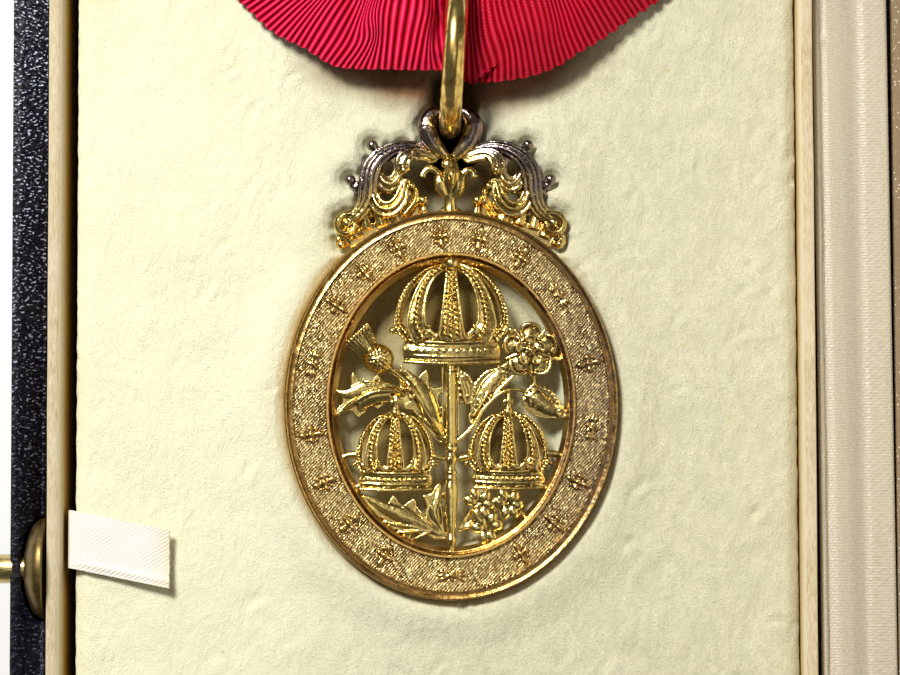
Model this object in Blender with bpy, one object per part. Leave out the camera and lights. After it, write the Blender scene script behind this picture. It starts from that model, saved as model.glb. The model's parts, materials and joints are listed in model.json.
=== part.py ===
"""Order badge on its ring and ribbon, lying on the pad of its open presentation case.

Metres. +Z is up, +X runs to the hinged side, +Y to the end where the ribbon lies.
The origin is the middle of the case's underside.
"""
import math

import bmesh
import bpy
from mathutils import Matrix, Vector

MM = 0.001
CLEAR = 0.3 * MM

# Case
CASE_WIDTH = 100.6 * MM
CASE_LENGTH = 164.0 * MM
WALL = 4.2 * MM
FLOOR = 2.5 * MM
CASE_ROUND = 1.0 * MM
LINER_THICK = 1.7 * MM
LINER_RISE = 2.0 * MM
LEDGE_ABOVE_PAD = 0.4 * MM

# Velvet pad
PAD_GAP_RIGHT = 0.3 * MM
PAD_GAP_BOTTOM = 0.5 * MM
PAD_GAP_TOP = 2.2 * MM
PAD_ROUND = 1.0 * MM
PAD_UNDER_SLOT = 1.5 * MM
SLOT_CLEAR = 0.6 * MM
RECESS_CLEAR = 0.6 * MM

# Badge: the oval frame
BADGE_X = 2.3 * MM
RING_TO_PAD_END = 1.7 * MM
BADGE_SINK = 1.4 * MM
OVAL_WIDTH = 39.9 * MM
OVAL_HEIGHT = 46.6 * MM
FRAME_THICK = 3.2 * MM
RIM_WIDTH = 1.0 * MM
BAND_WIDTH = 3.9 * MM
BAND_DROP = 0.6 * MM
INNER_RIM_WIDTH = 0.4 * MM
INNER_SLOPE_WIDTH = 0.7 * MM
INNER_EDGE_HEIGHT = 1.4 * MM
EDGE_SOFT = 0.25 * MM
OVAL_SEGMENTS = 64

# Badge: the crest and its loop
CREST_HEIGHT = 12.8 * MM
CREST_WIDTH = 27.6 * MM
CREST_THICK = 2.2 * MM
CREST_BACK = 0.6 * MM
LOOP_WIDTH = 7.7 * MM
LOOP_BAR = 1.0 * MM
LOOP_HOLE_CLEAR = 0.45 * MM
LOOP_SLACK = 2.5 * MM
LOOP_PROUD = 0.09 * MM
LOOP_SEGMENTS = 28
EYE_SEGMENTS = 20
PIERCING_SIDES = 10

# Badge: the pierced centre
CENTRE_BACK = 0.9 * MM
CENTRE_THICK = 2.0 * MM
HEIGHT_STEP = 0.015 * MM

# Suspension ring
RING_OUTER = 20.4 * MM
RING_WIRE = 2.7 * MM
RING_SEAT = 0.3 * MM
RING_YAW = -2.0
RING_SEGMENTS = 48
WIRE_SEGMENTS = 12

# Ribbon
RIBBON_THICK = 1.0 * MM
RIBBON_TUCK = 7.0 * MM
RIBBON_RING_CLEAR = 0.6 * MM
RIBBON_FROM_SIDE = 4.0 * MM
RIBBON_BAYS = 6

# Cotton lift tab
TAB_WIDTH = 7.0 * MM
TAB_THICK = 0.9 * MM
TAB_ON_PAD = 11.3 * MM
TAB_DOWN = 6.0 * MM
TAB_Y = 2.4 * MM
TAB_SLANT = -11.6
TAB_LIFT = 0.9 * MM

# Catch and button
BUTTON_Y = 0.0
BUTTON_BELOW_LEDGE = 1.9 * MM
BUTTON_RADIUS = 1.75 * MM
BUTTON_OUT = 3.0 * MM
BUTTON_CHAMFER = 0.5 * MM
DISC_RADIUS = 6.25 * MM
DISC_DOME = 2.6 * MM
DISC_RIM = 0.35 * MM
DISC_BEHIND = 0.1 * MM
DISC_CLEAR = 0.4 * MM
DOME_STEPS = 6
TURNED_SEGMENTS = 32

# Lid
LID_HEADROOM = 1.0 * MM
LID_TOP = 2.5 * MM
LINING_THICK = 3.5 * MM
LINING_PUFF = 1.2 * MM
LINING_CELLS = (8, 12)
LINING_FLATNESS = 4
LID_OPEN = 93.0

# Satin along the hinge
SATIN_THICK = 1.0 * MM
SATIN_TO_BARREL = 0.45 * MM
SATIN_LID_WIDTH = 3.9 * MM
SATIN_END = 5.5 * MM

# Hinges
HINGE_FROM_END = 32.0 * MM
HINGE_LENGTH = 14.0 * MM
HINGE_LEAF_THICK = 0.6 * MM
HINGE_LEAF_HEIGHT = 6.0 * MM
KNUCKLE_RADIUS = 1.3 * MM
PIN_RADIUS = 0.5 * MM

# Worked out: the badge
OVAL_A = OVAL_WIDTH / 2
OVAL_B = OVAL_HEIGHT / 2
FRAME_WIDTH = RIM_WIDTH + BAND_WIDTH + INNER_RIM_WIDTH + INNER_SLOPE_WIDTH
OPEN_A = OVAL_A - FRAME_WIDTH
OPEN_B = OVAL_B - FRAME_WIDTH
LOOP_TOP = OVAL_B + CREST_HEIGHT
HOLE_TOP = LOOP_TOP - LOOP_BAR
HOLE_HALF_WIDTH = RING_WIRE / 2 + LOOP_HOLE_CLEAR
HOLE_HALF_HEIGHT = (RING_WIRE + LOOP_SLACK) / 2
HOLE_Y = HOLE_TOP - HOLE_HALF_HEIGHT

# Worked out: the ring and the pad under it
RING_MAJOR = (RING_OUTER - RING_WIRE) / 2
RING_INNER = RING_OUTER / 2 - RING_WIRE
RING_ABOVE_BACK = CREST_BACK + CREST_THICK / 2
RING_ABOVE_PAD = RING_ABOVE_BACK - BADGE_SINK
RING_X = BADGE_X - RING_MAJOR * math.sin(math.radians(RING_YAW))
PAD_BOTTOM = FLOOR + CLEAR
PAD_THICK = RING_OUTER / 2 - RING_ABOVE_PAD + SLOT_CLEAR + PAD_UNDER_SLOT
PAD_TOP = PAD_BOTTOM + PAD_THICK
BADGE_BACK = PAD_TOP - BADGE_SINK
RING_Z = BADGE_BACK + RING_ABOVE_BACK

# Worked out: the case
HALF_WIDTH = CASE_WIDTH / 2
HALF_LENGTH = CASE_LENGTH / 2
TRAY_X = HALF_WIDTH - WALL
TRAY_Y = HALF_LENGTH - WALL
LEDGE_Z = PAD_TOP + LEDGE_ABOVE_PAD
LINER_TOP = LEDGE_Z + LINER_RISE
LINER_X = TRAY_X - CLEAR - LINER_THICK
LINER_Y = TRAY_Y - CLEAR - LINER_THICK
PAD_GAP_LEFT = TAB_THICK + 2 * CLEAR
PAD_LEFT = -LINER_X + PAD_GAP_LEFT
PAD_RIGHT = LINER_X - PAD_GAP_RIGHT
PAD_LOW_END = -LINER_Y + PAD_GAP_BOTTOM
PAD_HIGH_END = LINER_Y - PAD_GAP_TOP
RING_Y = PAD_HIGH_END - RING_TO_PAD_END - RING_OUTER / 2
BADGE_Y = RING_Y - RING_INNER + RING_SEAT - HOLE_TOP
RIBBON_REACH = PAD_RIGHT - RIBBON_FROM_SIDE - RING_X
REBATE = SATIN_THICK + CLEAR
BUTTON_Z = LEDGE_Z - BUTTON_BELOW_LEDGE
DISC_POCKET = DISC_DOME + 2 * DISC_CLEAR

# Worked out: the lid, as it lies when shut, and its axis
LID_RIM_Z = LEDGE_Z + CLEAR
LINING_Z = RING_Z + RING_OUTER / 2 + LID_HEADROOM + LINING_PUFF
LID_PANEL_Z = LINING_Z + LINING_THICK + CLEAR
LID_TOP_Z = LID_PANEL_Z + LID_TOP
AXIS = Vector((HALF_WIDTH + CLEAR / 2, 0.0, LEDGE_Z + CLEAR / 2))
NOTCH_RADIUS = KNUCKLE_RADIUS + CLEAR
SATIN_LEDGE_WIDTH = AXIS.x - KNUCKLE_RADIUS - SATIN_TO_BARREL - TRAY_X - CLEAR
HINGE_PLACES = (HINGE_FROM_END - HALF_LENGTH, HALF_LENGTH - HINGE_FROM_END)

MATERIALS = {
    "leathercloth": ((0.012, 0.011, 0.018), 0.45, 0.0),
    "cream_card": ((0.80, 0.68, 0.45), 0.75, 0.0),
    "cream_velvet": ((0.87, 0.83, 0.60), 0.95, 0.0),
    "satin": ((0.84, 0.78, 0.66), 0.40, 0.0),
    "brass": ((0.45, 0.33, 0.12), 0.35, 1.0),
    "gilt": ((0.80, 0.56, 0.22), 0.30, 1.0),
    "gold_wire": ((0.86, 0.66, 0.27), 0.20, 1.0),
    "crimson_silk": ((0.60, 0.004, 0.04), 0.45, 0.0),
    "cotton_tape": ((0.88, 0.84, 0.74), 0.85, 0.0),
}


def clear_scene():
    for item in list(bpy.data.objects):
        bpy.data.objects.remove(item, do_unlink=True)


def material(kind, name):
    colour, roughness, metallic = MATERIALS[kind]
    made = bpy.data.materials.new(name)
    made.use_nodes = True
    shader = made.node_tree.nodes["Principled BSDF"]
    shader.inputs["Base Color"].default_value = (*colour, 1.0)
    shader.inputs["Roughness"].default_value = roughness
    shader.inputs["Metallic"].default_value = metallic
    return made


def finish(name, bm, kind, parent=None):
    """Turn a bmesh into a named object with its own material."""
    bmesh.ops.remove_doubles(bm, verts=bm.verts, dist=1e-7)
    bmesh.ops.recalc_face_normals(bm, faces=bm.faces)
    mesh = bpy.data.meshes.new(name)
    bm.to_mesh(mesh)
    bm.free()
    mesh.shade_smooth()
    mesh.set_sharp_from_angle(angle=math.radians(35))
    made = bpy.data.objects.new(name, mesh)
    bpy.context.scene.collection.objects.link(made)
    if kind:
        mesh.materials.append(material(kind, name + "_finish"))
    if parent:
        made.parent = parent
    return made


def combine(target, tool, operation):
    """Join a tool to its target, or cut it away, with a live Boolean."""
    tool.hide_render = True
    tool.display_type = "WIRE"
    step = target.modifiers.new(tool.name, "BOOLEAN")
    step.operation = operation
    step.solver = "EXACT"
    step.object = tool


def block(low, high):
    bm = bmesh.new()
    size = Vector(high) - Vector(low)
    middle = (Vector(high) + Vector(low)) / 2
    matrix = Matrix.Translation(middle) @ Matrix.Diagonal((*size, 1.0))
    bmesh.ops.create_cube(bm, size=1.0, matrix=matrix)
    return bm


def bevel_edges(bm, chosen, width, segments=2):
    edges = [edge for edge in bm.edges if chosen(edge)]
    bmesh.ops.bevel(bm, geom=edges, offset=width, segments=segments, profile=0.5, affect="EDGES")


def upright(edge):
    a, b = (vert.co for vert in edge.verts)
    return abs(a.z - b.z) > 1e-6


def drum(centre, radius, low, high, axis="X", segments=32):
    """A cylinder along X or Y through centre, between two places on that axis."""
    bm = bmesh.new()
    turn = Matrix.Rotation(math.pi / 2, 4, "Y" if axis == "X" else "X")
    place = Vector(centre)
    place["XYZ".index(axis)] = (low + high) / 2
    bmesh.ops.create_cone(bm, cap_ends=True, segments=segments, radius1=radius, radius2=radius,
                          depth=high - low, matrix=Matrix.Translation(place) @ turn)
    return bm


def prism(outline, low, high):
    """Extrude a flat outline, given as (x, y) pairs, from low to high."""
    bm = bmesh.new()
    face = bm.faces.new([bm.verts.new((x, y, low)) for x, y in outline])
    grown = bmesh.ops.extrude_face_region(bm, geom=[face])
    lifted = [item for item in grown["geom"] if isinstance(item, bmesh.types.BMVert)]
    bmesh.ops.translate(bm, verts=lifted, vec=(0.0, 0.0, high - low))
    return bm


def ellipse(centre, half_x, half_y, count):
    return [(centre[0] + half_x * math.cos(2 * math.pi * i / count),
             centre[1] + half_y * math.sin(2 * math.pi * i / count)) for i in range(count)]


def join(bm, first, second):
    """A band of faces between two rings of as many points."""
    for i in range(len(first)):
        j = (i + 1) % len(first)
        bm.faces.new((first[i], first[j], second[j], second[i]))


def join_round(bm, rings):
    """Join rings of points, one after the other, and the last to the first."""
    for first, second in zip(rings, rings[1:] + rings[:1]):
        join(bm, first, second)


def skin(bm, rings):
    """Join rings of points, one after the other, into a tube closed at both ends."""
    for first, second in zip(rings, rings[1:]):
        join(bm, first, second)
    bm.faces.new(list(reversed(rings[0])))
    bm.faces.new(rings[-1])


def moved(outline, x, y):
    return [(px + x, py + y) for px, py in outline]


# Case


def pocket_for_disc(name, parent=None, shift=Vector((0.0, 0.0, 0.0))):
    """The round pocket that the catch disc lies in, half in the wall and half in the lid."""
    centre = Vector((0.0, BUTTON_Y, BUTTON_Z)) - shift
    low = -TRAY_X - DISC_POCKET - shift.x
    high = -TRAY_X + WALL - shift.x
    return finish(name, drum(centre, DISC_RADIUS + DISC_CLEAR, low, high), None, parent)


def case_base():
    bm = block((-HALF_WIDTH, -HALF_LENGTH, 0.0), (HALF_WIDTH, HALF_LENGTH, LEDGE_Z))
    bevel_edges(bm, upright, CASE_ROUND)
    base = finish("case_base", bm, "leathercloth")
    hollow = block((-TRAY_X, -TRAY_Y, FLOOR), (TRAY_X, TRAY_Y, LEDGE_Z + WALL))
    combine(base, finish("tray_cutter", hollow, None), "DIFFERENCE")
    satin_end = TRAY_Y - SATIN_END + CLEAR
    rebate = block((TRAY_X - WALL, -satin_end, LEDGE_Z - REBATE),
                   (TRAY_X + CLEAR + SATIN_LEDGE_WIDTH + CLEAR, satin_end, LEDGE_Z + WALL))
    combine(base, finish("satin_rebate_cutter", rebate, None), "DIFFERENCE")
    combine(base, pocket_for_disc("disc_pocket_cutter"), "DIFFERENCE")
    bore = drum((0.0, BUTTON_Y, BUTTON_Z), BUTTON_RADIUS + CLEAR,
                -HALF_WIDTH - WALL, -TRAY_X - CLEAR, segments=20)
    combine(base, finish("button_bore_cutter", bore, None), "DIFFERENCE")
    for number, place in enumerate(HINGE_PLACES, 1):
        for part, tool in enumerate(hinge_seat(place, -1)):
            combine(base, finish(f"hinge_seat_cutter_{number}_{part}", tool, None), "DIFFERENCE")
    return base


def liner():
    outer = (TRAY_X - CLEAR, TRAY_Y - CLEAR)
    low = FLOOR + CLEAR
    ring = finish("liner", block((-outer[0], -outer[1], low), (outer[0], outer[1], LINER_TOP)),
                  "cream_card")
    hollow = block((-LINER_X, -LINER_Y, low - WALL), (LINER_X, LINER_Y, LINER_TOP + WALL))
    combine(ring, finish("liner_cutter", hollow, None), "DIFFERENCE")
    return ring


def satin_strip():
    end = TRAY_Y - SATIN_END
    start = TRAY_X + CLEAR
    bm = block((start, -end, LEDGE_Z - SATIN_THICK), (start + SATIN_LEDGE_WIDTH, end, LEDGE_Z))
    return finish("satin_strip", bm, "satin")


def push_button():
    """Turned brass: a shank through the wall that ends in the domed disc of the catch."""
    outside = -HALF_WIDTH - BUTTON_OUT
    disc_flat = -TRAY_X - DISC_BEHIND
    apex = disc_flat - DISC_DOME
    profile = [(outside, 0.0), (outside, BUTTON_RADIUS - BUTTON_CHAMFER),
               (outside + BUTTON_CHAMFER, BUTTON_RADIUS)]
    first = math.asin(BUTTON_RADIUS / DISC_RADIUS)
    for step in range(DOME_STEPS + 1):
        turn = first + (math.pi / 2 - first) * step / DOME_STEPS
        along = apex + (DISC_DOME - DISC_RIM) * (1 - math.cos(turn))
        profile.append((along, DISC_RADIUS * math.sin(turn)))
    profile += [(disc_flat, DISC_RADIUS), (disc_flat, 0.0)]
    bm = bmesh.new()
    verts = [bm.verts.new((x, BUTTON_Y, BUTTON_Z + radius)) for x, radius in profile]
    edges = [bm.edges.new(pair) for pair in zip(verts, verts[1:])]
    bmesh.ops.spin(bm, geom=verts + edges, cent=(0.0, BUTTON_Y, BUTTON_Z), axis=(1.0, 0.0, 0.0),
                   angle=2 * math.pi, steps=TURNED_SEGMENTS, use_merge=True)
    return finish("push_button", bm, "brass")


# The tape's bend over the pad's edge, as (out, up) in tape thicknesses from the middle of the gap,
# and then the places along the stretch that lies over the pad, as shares of it.
TAB_BEND = [(0.0, -0.6), (0.35, 0.1), (1.2, 0.35)]
TAB_STRETCH = (0.3, 0.6, 0.85, 1.0)


def lift_tab():
    """Cotton tape that comes out of the gap beside the pad and lies out over it."""
    gap_x = -LINER_X + PAD_GAP_LEFT / 2
    half = TAB_THICK / 2
    over = PAD_TOP + CLEAR + half
    route = [(gap_x, PAD_TOP - TAB_DOWN)]
    route += [(gap_x + TAB_THICK * out, over + TAB_THICK * up) for out, up in TAB_BEND]
    rest = route[-1][1]
    for share in TAB_STRETCH:
        route.append((PAD_LEFT + TAB_ON_PAD * share, rest + TAB_LIFT * share ** 2))
    slant = math.tan(math.radians(TAB_SLANT))
    bm = bmesh.new()
    rings = []
    for index, (x, z) in enumerate(route):
        before = Vector(route[max(index - 1, 0)])
        after = Vector(route[min(index + 1, len(route) - 1)])
        along = (after - before).normalized()
        side = Vector((-along.y, along.x)) * half
        y = TAB_Y + max(x - gap_x, 0.0) * slant
        low, high = y - TAB_WIDTH / 2, y + TAB_WIDTH / 2
        upper = [(x + side.x, low, z + side.y), (x + side.x, high, z + side.y)]
        lower = [(x - side.x, high, z - side.y), (x - side.x, low, z - side.y)]
        rings.append([bm.verts.new(corner) for corner in upper + lower])
    skin(bm, rings)
    return finish("lift_tab", bm, "cotton_tape")


# Pad

# The crest's recess in the pad, as (out, up): shares of the crest's half width and height.
CREST_SEAT = [(1.00, -0.55), (1.00, 0.00), (0.93, 0.30), (0.74, 0.48), (0.70, 0.72)]


def pad():
    bm = block((PAD_LEFT, PAD_LOW_END, PAD_BOTTOM), (PAD_RIGHT, PAD_HIGH_END, PAD_TOP))
    bevel_edges(bm, lambda edge: all(vert.co.z > PAD_TOP - CLEAR for vert in edge.verts), PAD_ROUND)
    cushion = finish("pad", bm, "cream_velvet")
    seat = BADGE_BACK - CLEAR
    oval = ellipse((BADGE_X, BADGE_Y), OVAL_A + RECESS_CLEAR, OVAL_B + RECESS_CLEAR, OVAL_SEGMENTS)
    combine(cushion, finish("oval_recess_cutter", prism(oval, seat, LINER_TOP), None), "DIFFERENCE")
    neck = LOOP_WIDTH / 2 + RECESS_CLEAR
    high = LOOP_TOP + RECESS_CLEAR
    sides = [(out * CREST_WIDTH / 2 + RECESS_CLEAR, OVAL_B + up * CREST_HEIGHT + RECESS_CLEAR)
             for out, up in CREST_SEAT]
    sides += [(neck, sides[-1][1]), (neck, high - neck / 2), (neck / 2, high)]
    crest = moved(sides + [(-x, y) for x, y in reversed(sides)], BADGE_X, BADGE_Y)
    combine(cushion, finish("crest_recess_cutter", prism(crest, seat, LINER_TOP + CLEAR), None),
            "DIFFERENCE")
    width = RING_WIRE + 2 * SLOT_CLEAR
    slot = drum((0.0, 0.0, 0.0), RING_OUTER / 2 + SLOT_CLEAR, -width / 2, width / 2, segments=40)
    cutter = finish("ring_slot_cutter", slot, None)
    cutter.location = (RING_X, RING_Y, RING_Z)
    cutter.rotation_euler.z = math.radians(RING_YAW)
    combine(cushion, cutter, "DIFFERENCE")
    return cushion


# Badge


def frame_profile():
    """(inset from the outer edge, height) round the frame's cross-section."""
    top = FRAME_THICK
    soft = EDGE_SOFT / 2
    rim = RIM_WIDTH
    band = RIM_WIDTH + BAND_WIDTH
    crown = band + INNER_RIM_WIDTH
    return [(0.0, 0.0), (0.0, top - EDGE_SOFT), (EDGE_SOFT, top), (rim - soft, top),
            (rim, top - BAND_DROP), (band, top - BAND_DROP), (band + soft, top - soft),
            (crown, top - soft), (FRAME_WIDTH, INNER_EDGE_HEIGHT), (FRAME_WIDTH, 0.0)]


def frame():
    """The oval frame: its profile swept round the ellipse, always square to the edge."""
    bm = bmesh.new()
    rings = []
    for i in range(OVAL_SEGMENTS):
        turn = 2 * math.pi * i / OVAL_SEGMENTS
        edge = Vector((OVAL_A * math.cos(turn), OVAL_B * math.sin(turn)))
        out = Vector((OVAL_B * math.cos(turn), OVAL_A * math.sin(turn))).normalized()
        ring = []
        for inset, height in frame_profile():
            spot = edge - out * inset
            ring.append(bm.verts.new((BADGE_X + spot.x, BADGE_Y + spot.y, BADGE_BACK + height)))
        rings.append(ring)
    join_round(bm, rings)
    return finish("badge", bm, "gilt")


# The crest's left side as (out, up): shares of half its width and of its height, from the neck down.
CREST_EDGE = [(0.10, 0.60), (0.20, 0.66), (0.36, 0.68), (0.56, 0.70), (0.64, 0.60), (0.66, 0.46),
              (0.76, 0.36), (0.88, 0.26), (0.80, 0.14), (0.86, 0.02), (0.98, -0.08), (1.00, -0.18),
              (0.92, -0.28), (0.70, -0.40)]

# Openings in the crest's left side: middle (out, up) and half sizes, as shares of the same.
CREST_HOLES = [dict(out=0.46, up=0.44, wide=0.070, high=0.085),
               dict(out=0.44, up=0.20, wide=0.075, high=0.090),
               dict(out=0.60, up=0.02, wide=0.085, high=0.080),
               dict(out=0.16, up=0.36, wide=0.055, high=0.110)]


def crest_place(out, up):
    return (BADGE_X + out * CREST_WIDTH / 2, BADGE_Y + OVAL_B + up * CREST_HEIGHT)


def crest(badge):
    low = BADGE_BACK + CREST_BACK
    high = low + CREST_THICK
    left = [crest_place(-out, up) for out, up in CREST_EDGE]
    right = [crest_place(out, up) for out, up in reversed(CREST_EDGE)]
    plate = finish("crest_plate", prism(left + right, low, high), None)
    combine(badge, plate, "UNION")
    loop_y = LOOP_TOP - LOOP_WIDTH / 2
    loop = ellipse((BADGE_X, BADGE_Y + loop_y), LOOP_WIDTH / 2, LOOP_WIDTH / 2, LOOP_SEGMENTS)
    combine(badge, finish("crest_loop", prism(loop, low - LOOP_PROUD, high + LOOP_PROUD), None), "UNION")
    for side in (-1, 1):
        for number, hole in enumerate(CREST_HOLES):
            centre = crest_place(side * hole["out"], hole["up"])
            outline = ellipse(centre, hole["wide"] * CREST_WIDTH / 2, hole["high"] * CREST_HEIGHT,
                              PIERCING_SIDES)
            name = f"crest_hole_{number}_{'left' if side < 0 else 'right'}"
            combine(badge, finish(name, prism(outline, low - CREST_THICK, high + CREST_THICK), None),
                    "DIFFERENCE")
    eye = ellipse((BADGE_X, BADGE_Y + HOLE_Y), HOLE_HALF_WIDTH, HOLE_HALF_HEIGHT, EYE_SEGMENTS)
    combine(badge, finish("loop_hole_cutter", prism(eye, low - CREST_THICK, high + CREST_THICK), None),
            "DIFFERENCE")


# The pierced centre. Places are (across, up) as shares of the opening's half width and half height.
CROWNS = [dict(name="great", across=0.02, foot=0.25, wide=0.49, dome=0.72, band=0.30),
          dict(name="left", across=-0.49, foot=-0.60, wide=0.33, dome=0.50, band=0.21),
          dict(name="right", across=0.49, foot=-0.60, wide=0.33, dome=0.50, band=0.21)]

LEAVES = [dict(name="thistle_stem", start=(-0.58, 0.28), end=(0.0, -0.26), wide=0.10),
          dict(name="thistle_tuft", start=(-0.56, 0.26), end=(-0.90, 0.52), wide=0.22),
          dict(name="left_leaf", start=(-1.02, 0.04), end=(-0.44, 0.05), wide=0.15),
          dict(name="inner_left_leaf", start=(-0.40, 0.22), end=(0.0, -0.16), wide=0.17),
          dict(name="rose_leaf", start=(0.04, -0.25), end=(0.50, 0.28), wide=0.17),
          dict(name="right_leaf", start=(0.42, 0.08), end=(1.02, -0.10), wide=0.17),
          dict(name="cross_stem", start=(0.0, -0.20), end=(0.52, 0.10), wide=0.09),
          dict(name="low_left_leaf", start=(0.0, -0.90), end=(-0.80, -0.62), wide=0.17),
          dict(name="shamrock_stem", start=(0.0, -0.72), end=(0.66, -0.76), wide=0.12)]

ROUNDS = [dict(name="thistle_head", across=-0.62, up=0.31, radius=0.120, sides=12),
          dict(name="rose", across=0.71, up=0.345, radius=0.262, sides=20),
          dict(name="trefoil_low", across=0.32, up=-0.90, radius=0.120, sides=12),
          dict(name="trefoil_near", across=0.24, up=-0.70, radius=0.120, sides=12),
          dict(name="trefoil_far", across=0.54, up=-0.70, radius=0.120, sides=12),
          dict(name="left_nub", across=-0.91, up=-0.37, radius=0.110, sides=10),
          dict(name="left_inner_nub", across=-0.09, up=-0.37, radius=0.100, sides=10),
          dict(name="right_nub", across=0.91, up=-0.37, radius=0.110, sides=10),
          dict(name="right_inner_nub", across=0.09, up=-0.37, radius=0.100, sides=10),
          dict(name="great_left_ball", across=-0.48, up=0.53, radius=0.060, sides=10),
          dict(name="great_right_ball", across=0.52, up=0.53, radius=0.060, sides=10),
          dict(name="great_orb", across=0.02, up=0.97, radius=0.075, sides=10),
          dict(name="left_orb", across=-0.49, up=-0.09, radius=0.065, sides=10),
          dict(name="right_orb", across=0.49, up=-0.09, radius=0.065, sides=10)]


def centre_place(across, up):
    return (BADGE_X + across * OPEN_A, BADGE_Y + up * OPEN_B)


# A crown's band is narrower than its dome, and has its waist part of the way up.
CROWN_BAND_WIDTH = 0.88
CROWN_WAIST = dict(wide=0.95, up=0.70)
CROWN_ARC_STEPS = 8

# Four pointed slits between a crown's five arches: place, half width and reach, as shares of its size.
CROWN_SLITS = [dict(place=-0.62, wide=0.07, reach=0.46), dict(place=-0.24, wide=0.10, reach=0.66),
               dict(place=0.24, wide=0.10, reach=0.66), dict(place=0.62, wide=0.07, reach=0.46)]
SLIT_FOOT = 1.1
SLIT_LEAN = 0.72

# A leaf's half width along its length, blunt where it joins.
LEAF_SHAPE = [(0.0, 0.45), (0.25, 0.85), (0.5, 1.0), (0.75, 0.85), (1.0, 0.45)]

SCEPTRE = dict(half_wide=0.045, top=0.30)

# How high each kind of ornament stands, as a share of the centre's thickness.
STANDS = dict(leaf=0.55, round=0.80, crown=0.95, sceptre=1.00)


def crown_outline(crown):
    """Band below, domed arches above."""
    half = crown["wide"] * OPEN_A
    band_half = half * CROWN_BAND_WIDTH
    waist_half = band_half * CROWN_WAIST["wide"]
    foot = crown["foot"] * OPEN_B
    shoulder = foot + crown["band"] * OPEN_B
    waist = foot + (shoulder - foot) * CROWN_WAIST["up"]
    top = foot + crown["dome"] * OPEN_B
    outline = [(-band_half, foot), (band_half, foot), (waist_half, waist)]
    for step in range(CROWN_ARC_STEPS + 1):
        turn = math.pi * step / CROWN_ARC_STEPS
        outline.append((half * math.cos(turn), shoulder + (top - shoulder) * math.sin(turn)))
    outline.append((-waist_half, waist))
    return moved(outline, BADGE_X + crown["across"] * OPEN_A, BADGE_Y)


def crown_slits(crown):
    half = crown["wide"] * OPEN_A
    low = (crown["foot"] + crown["band"] * SLIT_FOOT) * OPEN_B
    tall = (crown["dome"] - crown["band"]) * OPEN_B
    for slit in CROWN_SLITS:
        foot_x, wide = slit["place"] * half, slit["wide"] * half
        outline = [(foot_x - wide, low), (foot_x + wide, low),
                   (foot_x * SLIT_LEAN, low + tall * slit["reach"])]
        yield moved(outline, BADGE_X + crown["across"] * OPEN_A, BADGE_Y)


def leaf_outline(leaf):
    start, end = Vector(centre_place(*leaf["start"])), Vector(centre_place(*leaf["end"]))
    along = end - start
    side = Vector((-along.y, along.x)).normalized() * leaf["wide"] * OPEN_A / 2
    there = [start + along * t + side * w for t, w in LEAF_SHAPE]
    back = [start + along * t - side * w for t, w in reversed(LEAF_SHAPE)]
    return [tuple(spot) for spot in there + back]


def sceptre_outline():
    half = SCEPTRE["half_wide"] * OPEN_A
    foot, top = -OPEN_B - RIM_WIDTH, OPEN_B * SCEPTRE["top"]
    return moved([(-half, foot), (half, foot), (half, top), (-half, top)], BADGE_X, BADGE_Y)


def centre(badge):
    """Join the ornaments to the frame. Each ends a little higher than the last, so none are flush."""
    low = BADGE_BACK + CENTRE_BACK
    tools = [(leaf["name"], leaf_outline(leaf), STANDS["leaf"]) for leaf in LEAVES]
    for item in ROUNDS:
        radius = item["radius"] * OPEN_A
        outline = ellipse(centre_place(item["across"], item["up"]), radius, radius, item["sides"])
        tools.append((item["name"], outline, STANDS["round"]))
    for crown in CROWNS:
        tools.append((crown["name"] + "_crown", crown_outline(crown), STANDS["crown"]))
    tools.append(("sceptre", sceptre_outline(), STANDS["sceptre"]))
    for number, (name, outline, share) in enumerate(tools):
        rise = number * HEIGHT_STEP
        tool = prism(outline, low + rise, low + CENTRE_THICK * share + rise)
        combine(badge, finish(name, tool, None), "UNION")
    for crown in CROWNS:
        for number, slit in enumerate(crown_slits(crown)):
            tool = prism(slit, low - CENTRE_THICK, low + 2 * CENTRE_THICK)
            combine(badge, finish(f"{crown['name']}_slit_{number}", tool, None), "DIFFERENCE")


# Ring and ribbon


def suspension_ring():
    bm = bmesh.new()
    rings = []
    for i in range(RING_SEGMENTS):
        turn = 2 * math.pi * i / RING_SEGMENTS
        out = Vector((0.0, math.cos(turn), math.sin(turn)))
        ring = []
        for k in range(WIRE_SEGMENTS):
            side = 2 * math.pi * k / WIRE_SEGMENTS
            across = Vector((RING_WIRE / 2 * math.sin(side), 0.0, 0.0))
            ring.append(bm.verts.new(out * (RING_MAJOR + RING_WIRE / 2 * math.cos(side)) + across))
        rings.append(ring)
    join_round(bm, rings)
    ring = finish("suspension_ring", bm, "gold_wire")
    ring.location = (RING_X, RING_Y, RING_Z)
    ring.rotation_euler.z = math.radians(RING_YAW)
    return ring


# The ribbon's two edges inside the ring, as shares of the ring's inner radius from its middle.
RIBBON_IN_RING = dict(low=-0.37, high=0.90)

# Half of the ribbon, from the ring outwards, by its two edges: low is the one nearer to the crest.
# out is a share of the ribbon's reach along X, and low and high are shares of the way from the
# ring's middle to the pad's end.
RIBBON_SECTIONS = [dict(low_out=0.20, low=-0.21, high_out=0.070, high=0.55),
                   dict(low_out=0.33, low=-0.12, high_out=0.080, high=0.66),
                   dict(low_out=0.50, low=0.17, high_out=0.090, high=0.78),
                   dict(low_out=0.67, low=0.47, high_out=0.100, high=0.89),
                   dict(low_out=0.95, low=0.92, high_out=0.115, high=0.98),
                   dict(low_out=1.00, low=1.00, high_out=0.120, high=1.00)]


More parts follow.
